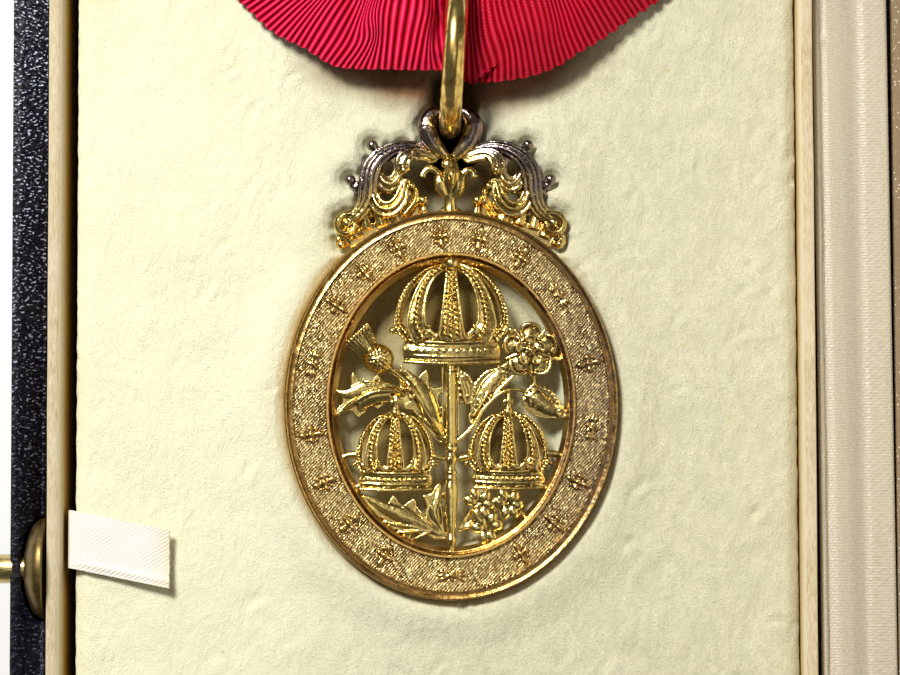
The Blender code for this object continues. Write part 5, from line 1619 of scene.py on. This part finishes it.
def rose():
    """The double rose, its stalk, leaf and bud, and the round leaf under it."""
    x, y = ROSE
    pieces = [ball(x, y, 1.25, 2.7, 0.22)]
    for turn, c, s in fan(5):
        petal, inner = (x + 2.0 * c, y + 2.0 * s), (x + 1.10 * c, y + 1.10 * s)
        pieces += [ball(*petal, 1.55, 1.26, 0.40, 1.0, turn),
                   bar(petal_edge(*petal, 1.22, turn, 72, 6, 2.0, 0.26, 0.15)),
                   ball(*inner, 2.10, 0.76, 0.5),
                   bar(petal_edge(*inner, 0.66, turn, 75, 4, 2.42, 0.18), sides=1)]
    for _, c, s in fan(5, 126.0):
        pieces.append(bar([(x + 1.4 * c, y + 1.4 * s, 1.7, 0.34), (x + 3.2 * c, y + 3.2 * s, 1.6, 0.20)]))
    pieces.append(ball(x, y, 2.35, 0.62, 0.7))
    boss = [(x, y, 2.75, 0.34)]
    boss += [(x + 0.52 * c, y + 0.52 * s, 2.62, 0.20) for _, c, s in fan(7, 0.0)]
    pieces.append(bar([(0.3, -4.7, 1.9, 0.34), (2.6, -2.5, 1.9, 0.30), (4.05, -0.3, 1.95, 0.26),
                       (5.9, 1.35, 1.95, 0.24), (7.3, 1.85, 1.9, 0.22), (8.9, 1.7, 1.8, 0.24)]))
    pieces.append(bar([(4.4, 0.5, 1.7, 0.24), (7.6, 3.6, 1.7, 0.28)]))
    pieces += plate(ROSE_LEAF) + plate(BUD_LEAF) + plate(ROUND_LEAF)
    pieces += [swelling((2.5, -1.4, 0.30), (3.4, 0.6, 0.62), (4.6, 2.3, 0.95), (5.7, 3.5, 0.80),
                        (6.4, 4.3, 0.35)),
               swelling((9.2, 1.2, 0.60), (10.4, 0.6, 1.05), (11.8, -0.3, 0.95), (13.2, -1.2, 0.35)),
               swelling((2.0, 0.6, 0.25), (1.7, 2.2, 0.60), (1.0, 3.9, 0.30))]
    pieces += toothed(ROSE_LEAF[5::-1])
    pieces += toothed([(8.7, 0.2), (8.7, 0.85), (9.2, 1.85), (10.0, 2.5), (10.95, 2.1), (12.0, 1.6),
                       (12.6, 0.75), (13.3, -0.3), (13.8, -1.4)], 0.30, 0.55)
    pieces += toothed([(0.6, 4.4), *BUD_LEAF[1:5]], 0.2)

    def shrinking(share):
        reach = 1.35 * (1 - share ** 2 * 0.6)
        return (0.65 * reach, reach), (0.1, -reach)

    pieces += midrib((2.6, -1.4), (6.4, 4.6), 1.85, 0.176, (0.25, 0.38, 0.51, 0.64, 0.77, 0.9),
                     lambda share: ((1.1, -0.1), (-0.5, 0.9)), 1.75, 0.152)
    pieces += midrib((8.9, 1.2), (13.6, -1.3), 1.8, 0.144, (0.12, 0.3, 0.48, 0.66, 0.84),
                     shrinking, 1.75, 0.168)
    pieces += midrib((1.7, 0.3), (0.9, 4.1), 1.8, 0.128, (0.15, 0.35, 0.55, 0.75),
                     lambda share: ((0.9, 0.7), (-0.6, 0.5)), 1.7, 0.136)
    pieces += [bar([(6.2, 4.6, 1.5, 0.30), (7.4, 5.2, 1.5, 0.40)]),
               bar([(9.9, 3.9, 1.5, 0.36), (10.0, 2.3, 1.5, 0.36)]),
               bar([(11.9, 5.6, 1.5, 0.45), (13.1, 5.3, 1.4, 0.50)])]
    return pieces + beads(boss)


def low_leaves():
    """The spiky leaf and the three trefoils under the crowns."""
    pieces = plate(LOW_LEAF) + plate(SIDE_LEAF)
    pieces += [swelling((-1.2, -15.5, 0.25), (-3.4, -14.2, 0.80), (-6.0, -13.1, 0.95),
                        (-8.4, -12.0, 0.60), (-10.2, -11.0, 0.2)),
               swelling((-1.2, -14.6, 0.25), (-2.0, -12.8, 0.65), (-1.6, -11.2, 0.55), (-1.4, -9.9, 0.2))]
    pieces += veins((-2.2, -15.0), [(-10.2, -11.0), (-6.9, -11.2), (-4.5, -11.6), (-9.3, -13.7),
                                    (-7.5, -15.2), (-5.3, -16.3)], 1.75, 0.16)
    pieces += veins((-0.9, -15.2), [(-3.1, -11.0), (-1.4, -9.8)], 1.7, 0.128)
    root = Vector(TREFOIL_ROOT)
    for lobes in TREFOILS:
        middle = Vector((sum(lobe[0] for lobe in lobes) / 3, sum(lobe[1] for lobe in lobes) / 3))
        bend = (middle + root) / 2 + Vector((0.0, 0.35))
        pieces.append(bar([(*root, 1.5, 0.24), (*bend, 1.7, 0.22), (*middle, 1.7, 0.36)]))
        for place in lobes:
            out = (Vector(place) - middle).normalized()
            side = Vector((-out.y, out.x))
            turn = degrees(atan2(out.y, out.x))
            for hand in (-1, 1):
                heart = Vector(place) + side * 0.48 * hand
                pieces.append(ball(*heart, 1.9, 0.66, 0.62, 1.35, turn + 25 * hand))
    return pieces + [bar([(4.3, -16.3, 1.4, 0.45), (4.8, -17.4, 1.3, 0.50)]),
                     bar([(7.6, -12.4, 1.4, 0.40), (9.2, -13.6, 1.3, 0.45)])]


def sprays():
    """Sceptre, thistle, rose, leaves and trefoils, and the bars that tie them to the frame."""
    pieces = [bar([(0.0, up, 2.1, radius) for up, radius in ROD], 0.9, 3, 3)]
    for side in (-0.98, 0.90):
        pieces.append(bar([(side, 4.8, 1.7, 0.14), (side, -4.2, 1.7, 0.14)], sides=1))
    pieces += thistle() + rose() + low_leaves()
    pieces += [bar(path, 0.9) for path in TIES]
    return cast("sprays", pieces, 0.10 * MM, 1, 0.42)


def badge_finish(name, colour, dull, brown, rough=0.24, hatched=False):
    """Old gilding: bright where it is rubbed, brown in the hollows, purple-grey where the silver
    comes through. The tarnish lies over the loop and the crest's outer scrolls, and in patches."""
    made = Finish(name, colour, rough, Metallic=1.0)
    place = made.where()
    shape = made.node("NewGeometry")
    cloud = made.noise(3.0 * MM, place, detail=4.0, roughness=0.6)
    fine = made.noise(0.5 * MM, place, roughness=0.6)
    hollow = made.scale(shape.outputs["Pointiness"], 0.465, 0.518)
    tone = made.mix(hollow, brown, colour)
    if hatched:
        strokes = made.ribs(0.29 * MM, made.where(turn=43.0), "X", 2.4)
        breaks = made.noise(0.26 * MM, made.where((1.0, 0.55, 1.0), 43.0), detail=2.0)
        grain = made.plus(made.times(strokes, 0.5), made.scale(breaks, 0.3, 0.7, 0.0, 0.75))
        tone = made.mix(made.scale(grain, 0.46, 0.88), brown, colour)
        made.relief(grain, 0.15 * MM)
    tone = made.mix(made.scale(cloud, 0.45, 0.72, 0.0, 0.5), tone, dull)
    core = made.node("VectorMath", operation="DISTANCE")
    made.feed(place, core.inputs[0])
    core.inputs[1].default_value = spot(0.0, 20.0, 1.8)
    outer = made.plus(core.outputs["Value"], made.times(cloud, 3.2 * MM))
    high = made.scale(made.axis(place, "Y"), MIDDLE.y + 22.6 * MM, MIDDLE.y + 26.0 * MM)
    mask = made.times(made.scale(outer, 11.4 * MM, 13.6 * MM), high)
    grey = made.mix(hollow, (0.024, 0.014, 0.028), (0.25, 0.21, 0.26))
    tone = made.mix(made.times(mask, made.scale(fine, 0.3, 0.7, 1.0, 0.72)), tone, grey)
    east = made.scale(made.axis(place, "X"), MIDDLE.x + 5 * MM, MIDDLE.x + 17 * MM, 0.0, 0.75)
    patch = made.plus(made.scale(cloud, 0.52, 0.70, 0.0, 0.35), east)
    patch = made.times(patch, made.scale(fine, 0.33, 0.58))
    made.colour(made.mix(patch, tone, (0.18, 0.13, 0.09)))
    made.rough(made.scale(cloud, 0.3, 0.75, rough * 0.75, rough * 1.7))
    made.relief(fine, 0.06 * MM, 0.8)
    return made


def badge():
    """The oval frame, the crest, the crowns and the sprays in it, and the ornaments on its band."""
    bright = badge_finish("bright_gilt", (0.98, 0.745, 0.25), (0.70, 0.48, 0.14), (0.17, 0.08, 0.010),
                          0.17)
    ground = badge_finish("hatched_gilt", (0.97, 0.80, 0.41), (0.64, 0.46, 0.17), (0.16, 0.080, 0.015),
                          0.27, True)
    worn = badge_finish("worn_rim", (0.77, 0.50, 0.16), (0.54, 0.27, 0.07), (0.18, 0.07, 0.01), 0.22)
    frame_piece = oval_frame()
    hand_over(frame_piece, "root", "gilt", [worn, ground], "badge")
    second_finish(frame_piece, lambda place, normal: place.z > MIDDLE.z + 2.4 * MM
                  and BAND_OUTER < inset_of(place) < BAND_INNER)
    for part in (crest(), crowns(), sprays()):
        hand_over(part, "root", "gilt", [bright])
    ornaments = []
    for ornament, places in ((weld("sprig", sprig()), SPRIG_PLACES),
                             (weld("rosette", rosette()), ROSETTE_PLACES)):
        ornaments += [on_band(twin(ornament), place) for place in places]
        bpy.data.objects.remove(ornament)
    hand_over(cast("band_ornaments", ornaments, 0.08 * MM, 1, 0.5), "root", "gilt", [worn])


def suspension_ring():
    """Round gilt wire, bent to a ring and closed with a soldered seam, standing in the pad's slot."""
    middle = (RING_LOW + RING_HIGH) / 2 + Vector((RING_SHIFT, 0.0, 0.0))
    wire = 2.7 * MM
    outer = (RING_HIGH.z - RING_LOW.z) / 2
    let_go()
    bpy.ops.mesh.primitive_torus_add(major_segments=144, minor_segments=28, major_radius=outer - wire / 2,
                                     minor_radius=wire / 2, location=middle,
                                     rotation=(0.0, pi / 2, RING_TURN))
    piece = added("wire_ring")
    settle(piece)

    def wear(place):
        """The wire is drawn a little uneven, and flattened where it has been hammered shut."""
        away = place - middle
        turn = atan2(away.z, away.y)
        core = middle + Vector((0.0, cos(turn), sin(turn))) * (outer - wire / 2)
        thin = 1 - 0.03 * soft_noise(turn, place.x / MM, 0.22, 4.0) - 0.05 * gauss(turn - 2.3, 0.03)
        return core + (place - core) * min(thin, 1.0)

    sculpt(piece, wear)
    smooth(piece, 60)
    made = Finish("ring_gilt", (0.88, 0.66, 0.20), 0.14, Metallic=1.0)
    cloud = made.noise(1.6 * MM, detail=4.0, roughness=0.6)
    scratch = made.noise(0.35 * MM, made.where((1.0, 0.18, 0.4)))
    tone = made.mix(made.scale(cloud, 0.42, 0.68), (1.0, 0.78, 0.29), (0.46, 0.25, 0.06))
    made.colour(made.mix(made.scale(scratch, 0.52, 0.70, 0.0, 0.6), tone, (0.30, 0.17, 0.05)))
    made.rough(made.scale(cloud, 0.3, 0.75, 0.15, 0.34))
    made.relief(scratch, 0.02 * MM, 0.5)
    hand_over(piece, "root", "gold_wire", [made], "suspension_ring")


# Ribbon. Each rib's foot on the lower selvedge, two places on it, and its end at the pad's end; from
# the left to the right, in the case's millimetres.
RIBS = [((-32.8, 73.5), (-32.7, 73.6), (-32.6, 73.7), (-32.5, 73.9)),
        ((-29.0, 72.6), (-28.3, 73.0), (-27.5, 73.4), (-26.5, 73.9)),
        ((-25.3, 70.7), (-23.6, 71.7), (-21.6, 72.7), (-19.3, 73.9)),
        ((-22.4, 67.7), (-19.8, 69.4), (-16.6, 71.4), (-13.0, 73.9)),
        ((-18.9, 64.3), (-16.5, 66.6), (-13.6, 69.4), (-9.8, 73.9)),
        ((-15.2, 62.3), (-13.4, 65.2), (-10.9, 69.0), (-7.6, 73.9)),
        ((-11.8, 60.1), (-10.0, 62.6), (-8.7, 66.0), (-6.0, 73.9)),
        ((-9.1, 59.6), (-7.2, 62.9), (-7.2, 66.6), (-4.8, 73.9)),
        ((-5.9, 59.5), (-5.5, 63.0), (-5.1, 67.5), (-3.4, 73.9)),
        ((-1.9, 59.4), (-1.2, 63.0), (-0.4, 67.5), (-0.8, 73.9)),
        ((0.6, 59.4), (0.2, 62.0), (0.3, 66.5), (0.4, 73.9)),
        ((1.9, 59.3), (1.4, 61.8), (1.1, 65.0), (1.0, 68.6)),
        ((2.9, 58.6), (2.7, 61.3), (2.7, 65.0), (2.7, 68.3)),
        ((4.3, 57.9), (4.2, 61.0), (4.2, 65.0), (4.3, 68.6)),
        ((5.1, 57.9), (5.0, 61.0), (4.7, 65.5), (4.8, 73.9)),
        ((6.7, 57.9), (6.6, 61.0), (5.6, 65.5), (5.4, 73.9)),
        ((9.0, 58.1), (8.8, 61.5), (7.6, 66.3), (6.6, 73.9)),
        ((12.2, 58.7), (11.6, 62.0), (10.6, 66.3), (8.9, 73.9)),
        ((15.2, 59.9), (14.6, 62.5), (13.9, 66.8), (11.9, 73.9)),
        ((17.8, 61.6), (16.7, 64.3), (15.6, 68.0), (13.7, 73.9)),
        ((20.6, 63.3), (19.2, 65.8), (17.6, 68.8), (15.6, 73.9)),
        ((23.7, 65.6), (22.2, 67.8), (20.6, 70.4), (18.6, 73.9)),
        ((26.3, 67.4), (25.0, 69.2), (23.4, 71.4), (21.6, 73.9)),
        ((31.2, 70.8), (30.2, 71.8), (29.2, 72.8), (28.2, 73.9)),
        ((35.6, 73.4), (35.4, 73.6), (35.2, 73.7), (35.0, 73.9))]
CORD = 0.77 * MM
CORD_STEPS = 8
CORD_DEEP = 0.26 * MM
RIBBON_ROWS = 58
# The share of the ribbon that is tucked in behind the pad's end
RIBBON_TUCK = 0.24
RIBBON_THICK = 0.34 * MM


def between(places, share):
    """A smooth line through places, at a share of its steps."""
    step = min(int(share), len(places) - 2)
    late = share - step
    a, b = places[max(step - 1, 0)], places[step]
    c, d = places[step + 1], places[min(step + 2, len(places) - 1)]
    return tuple(0.5 * (2 * q + (r - p) * late + (2 * p - 5 * q + 4 * r - s) * late ** 2
                        + (3 * q - p - 3 * r + s) * late ** 3) for p, q, r, s in zip(a, b, c, d))


def ribbon():
    """Ribbed silk, gathered through the ring, both legs spread over the pad and tucked in behind it."""
    feet = [rib[0] for rib in RIBS]
    travel = [0.0]
    for first, second in zip(feet, feet[1:]):
        travel.append(travel[-1] + dist(first, second) * MM)
    cords = round(travel[-1] / CORD / 2) * 2
    pitch = travel[-1] / cords
    piece = grid("silk_ribbon", cords * CORD_STEPS, RIBBON_ROWS)
    ring_x = (RING_LOW.x + RING_HIGH.x) / 2 / MM

    def lay(place):
        along = (place.x + 0.5) * travel[-1]
        step = 0
        while step < len(travel) - 2 and travel[step + 1] < along:
            step += 1
        rib = step + (along - travel[step]) / (travel[step + 1] - travel[step])
        way = (place.y + 0.5) / (1 - RIBBON_TUCK)
        lines = [between([line[point] for line in RIBS], rib) for point in range(4)]
        x, y = between(lines, min(way, 1.0) * 3)
        out = (Vector(lines[0]) - Vector(lines[1])).normalized()
        loop = sqrt(max(1 - (2 * (along / (2 * pitch) % 1.0) - 1) ** 2, 0.0))
        edge = 1 - ease(0.0, 0.07, way)
        x += out.x * 0.34 * (loop - 0.5) * edge
        y += out.y * 0.34 * (loop - 0.5) * edge
        far = abs(lines[0][0] - ring_x)
        lift = 3.3 * (1 - ease(8.0, 32.0, far))
        belly = 0.9 * (1 - ease(10.0, 32.0, far)) * sin(pi * min(way * 1.05, 1.0))
        z = 15.35 + lift * (1 - ease(0.45, 1.0, way)) + belly
        inside = gauss(x - ring_x, 2.2)
        z += inside * (1.2 * ease(0.3, 1.0, way) + 0.7 * cos(2 * pi * (1.9 * way + 0.1)))
        z -= 2.4 * gauss(x - 1.0, 1.1) * ease(0.25, 0.48, way) * (1 - ease(0.8, 1.0, way))
        z -= 0.9 * gauss(x - 15.6, 1.6) * gauss(y - 66.4, 2.6)
        z += 0.75 * gauss(x + 6.9, 1.1) * ease(61.0, 64.5, y)
        z -= 0.65 * gauss(x + 9.4, 1.3) * ease(61.5, 64.0, y)
        z += soft_noise(x, y, 6.5, 4.0) * 0.5 * ease(0.0, 0.2, way) * (1 - ease(0.85, 1.0, way))
        fold = (1 - ease(5.0, 9.5, x)) * ease(3.2, 4.2, x)
        y -= 2.6 * fold * ease(0.17, 0.30, way) * (1 - ease(0.34, 0.95, way))
        z += fold * (0.85 * ease(0.15, 0.27, way) - 0.25)
        groove = abs(sin(pi * along / pitch)) ** 0.6
        pair = 0.5 - 0.5 * cos(pi * along / pitch)
        groove = groove + (1 - groove) * (1 - ease(0.0, 0.05, way)) * pair
        z += (groove - 1) * CORD_DEEP / MM
        z = max(z, PAD_HIGH.z / MM + 0.30)
        tucked = max(way - 1.0, 0.0) / (1 / (1 - RIBBON_TUCK) - 1.0)
        if tucked:
            turn = min(tucked * 4.5, 1.0) * pi / 2
            y += 0.75 * sin(turn)
            z = z - 0.5 * (1 - cos(turn)) - 6.2 * max(tucked - 0.22, 0.0)
        return Vector((x, y, z)) * MM

    chart(piece, lambda place: ((place.x + 0.5) * cords * CORD, (place.y + 0.5) * 20 * MM))
    sculpt(piece, lay)
    modify(piece, "SOLIDIFY", thickness=RIBBON_THICK, offset=-1.0)
    smooth(piece, 80)
    hand_over(piece, "root", "crimson_silk", [crimson_silk()], "ribbon")


# Lid


LID_WALL = 4.0 * MM


def lid_box():
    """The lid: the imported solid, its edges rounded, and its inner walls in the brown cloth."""
    piece = cad_copy("lid_shell", "lid_box")
    round_edges(piece, CLOTH_EDGE, 3, 50)
    smooth(piece, 60)
    low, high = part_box("lid_shell")
    rim = high.x - (high.z - low.z) * LID_LEAN - low.x

    def within(place, normal):
        """On an inner wall: between the lid's top panel and its rim, and inside its outer walls."""
        deep = high.x - (high.z - place.z) * LID_LEAN - place.x
        return (1.5 * MM < deep < rim - 0.6 * MM and abs(place.y) < high.y - LID_WALL
                and low.z + LID_WALL < place.z < high.z - LID_WALL)

    hand_over(piece, "lid", "leathercloth", [leathercloth(), brown_cloth()], "lid_shell")
    second_finish(piece, within)


def lid_lining():
    """Satin over wadding: fullest in the middle, gathered in pleats where it meets the walls."""
    low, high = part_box("lid_lining")
    size = high - low
    piece = grid("padded_lining", 130, 210)
    half_y, half_z = size.y / 2, size.z / 2
    middle = (low + high) / 2
    back = high.x - 0.4 * MM

    def puff(spot):
        y, z = spot.y * 2 * half_y, spot.x * 2 * half_z
        edge = min(half_y - abs(y), half_z - abs(z))
        rise = 3.9 * MM * (1 - (1 - min(edge / (24 * MM), 1.0)) ** 3.2)
        along = z if half_y - abs(y) < half_z - abs(z) else y
        corner = abs((half_y - abs(y)) - (half_z - abs(z)))
        pleat = soft_noise(along, 0.0, 2.3 * MM, 3.0 + copysign(1, y) + copysign(3, z))
        fade = gauss(edge, 6.5 * MM) * ease(0.0, 8 * MM, corner)
        rise += pleat * 0.75 * MM * fade * ease(0.0, 1.2 * MM, edge)
        rise += soft_noise(y, z, 24 * MM, 6.0) * 0.28 * MM * ease(0.0, 12 * MM, edge)
        rise = min(max(rise, 0.1 * MM), 4.2 * MM)
        return Vector((back - rise - (half_z - z) * LID_LEAN, middle.y + y, middle.z + z))

    sculpt(piece, puff)
    open_up(piece)
    pick(piece, "EDGE", lambda edge: edge.is_boundary)
    draw_out(0.35 * MM, 0.0, 0.0)
    bpy.ops.mesh.edge_face_add()
    settle(piece)
    smooth(piece, 70)
    hand_over(piece, "lid", "satin", [padded_satin()], "lid_lining")


def hinges():
    """Leaves and pins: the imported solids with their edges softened."""
    for body, names in (("root", ("hinge_base_1", "hinge_base_2", "hinge_pin_1", "hinge_pin_2")),
                        ("lid", ("hinge_lid_1", "hinge_lid_2"))):
        for node in names:
            piece = cad_copy(node, node + "_aged")
            round_edges(piece, 0.08 * MM, 2, 40)
            smooth(piece, 40)
            hand_over(piece, body, "brass", [old_brass()], node)


# Studio: soft lamps, all aimed at one place over the pad. Each row is name, place and size in metres,
# watts, and colour.
LAMPS = [("key", (-0.18, 0.28, 0.44), 0.13, 3.6, (1.0, 0.99, 0.94)),
         ("overhead", (0.03, 0.0, 0.75), 0.32, 0.25, (0.98, 0.98, 1.0)),
         ("fill", (0.34, -0.30, 0.30), 0.30, 0.08, (1.0, 0.94, 0.84))]
LAMP_AIM = Vector((0.0, 0.02, 0.015))


def studio():
    """A plain pale floor, soft light from the upper left, and the camera over the open case."""
    let_go()
    bpy.ops.mesh.primitive_plane_add(size=3.0, location=(0.0, 0.0, -0.0002))
    floor = added("floor")
    paper = Finish("pale_paper", (0.86, 0.86, 0.88), 0.9)
    floor.data.materials.append(paper.material)

    for name, place, size, power, colour in LAMPS:
        let_go()
        bpy.ops.object.light_add(type="AREA", location=place)
        light = added(name)
        light.data.shape = "RECTANGLE"
        light.data.size = light.data.size_y = size
        light.data.energy = power
        light.data.color = colour
        aim = LAMP_AIM - Vector(place)
        light.rotation_euler = aim.to_track_quat("-Z", "Y").to_euler()
    world = bpy.data.worlds.new("room")
    world.use_nodes = True
    room = world.node_tree.nodes["Background"]
    room.inputs["Color"].default_value = (1.0, 0.92, 0.80, 1.0)
    room.inputs["Strength"].default_value = 0.095
    bpy.context.scene.world = world
    bpy.context.scene.view_settings.view_transform = "Standard"

    let_go()
    bpy.ops.object.camera_add()
    camera = added("camera")
    back = Vector((0.0, -sin(VIEW_TILT), cos(VIEW_TILT)))
    turn = Matrix.Rotation(VIEW_TILT, 3, "X") @ Matrix.Rotation(VIEW_ROLL, 3, "Z")
    camera.location = VIEW_CENTRE + back * VIEW_DISTANCE
    camera.rotation_euler = turn.to_euler()
    camera.data.sensor_width = SENSOR
    camera.data.lens = SENSOR * FOCAL_PIXELS / IMAGE_WIDTH
    camera.data.clip_start = 0.01
    camera.data.clip_end = 10.0
    bpy.context.scene.camera = camera


for make in (studio, case_base, liner, pad, lid_box, satin, lift_tab, push_button, badge,
             suspension_ring, ribbon, lid_lining, hinges, let_go):
    make()
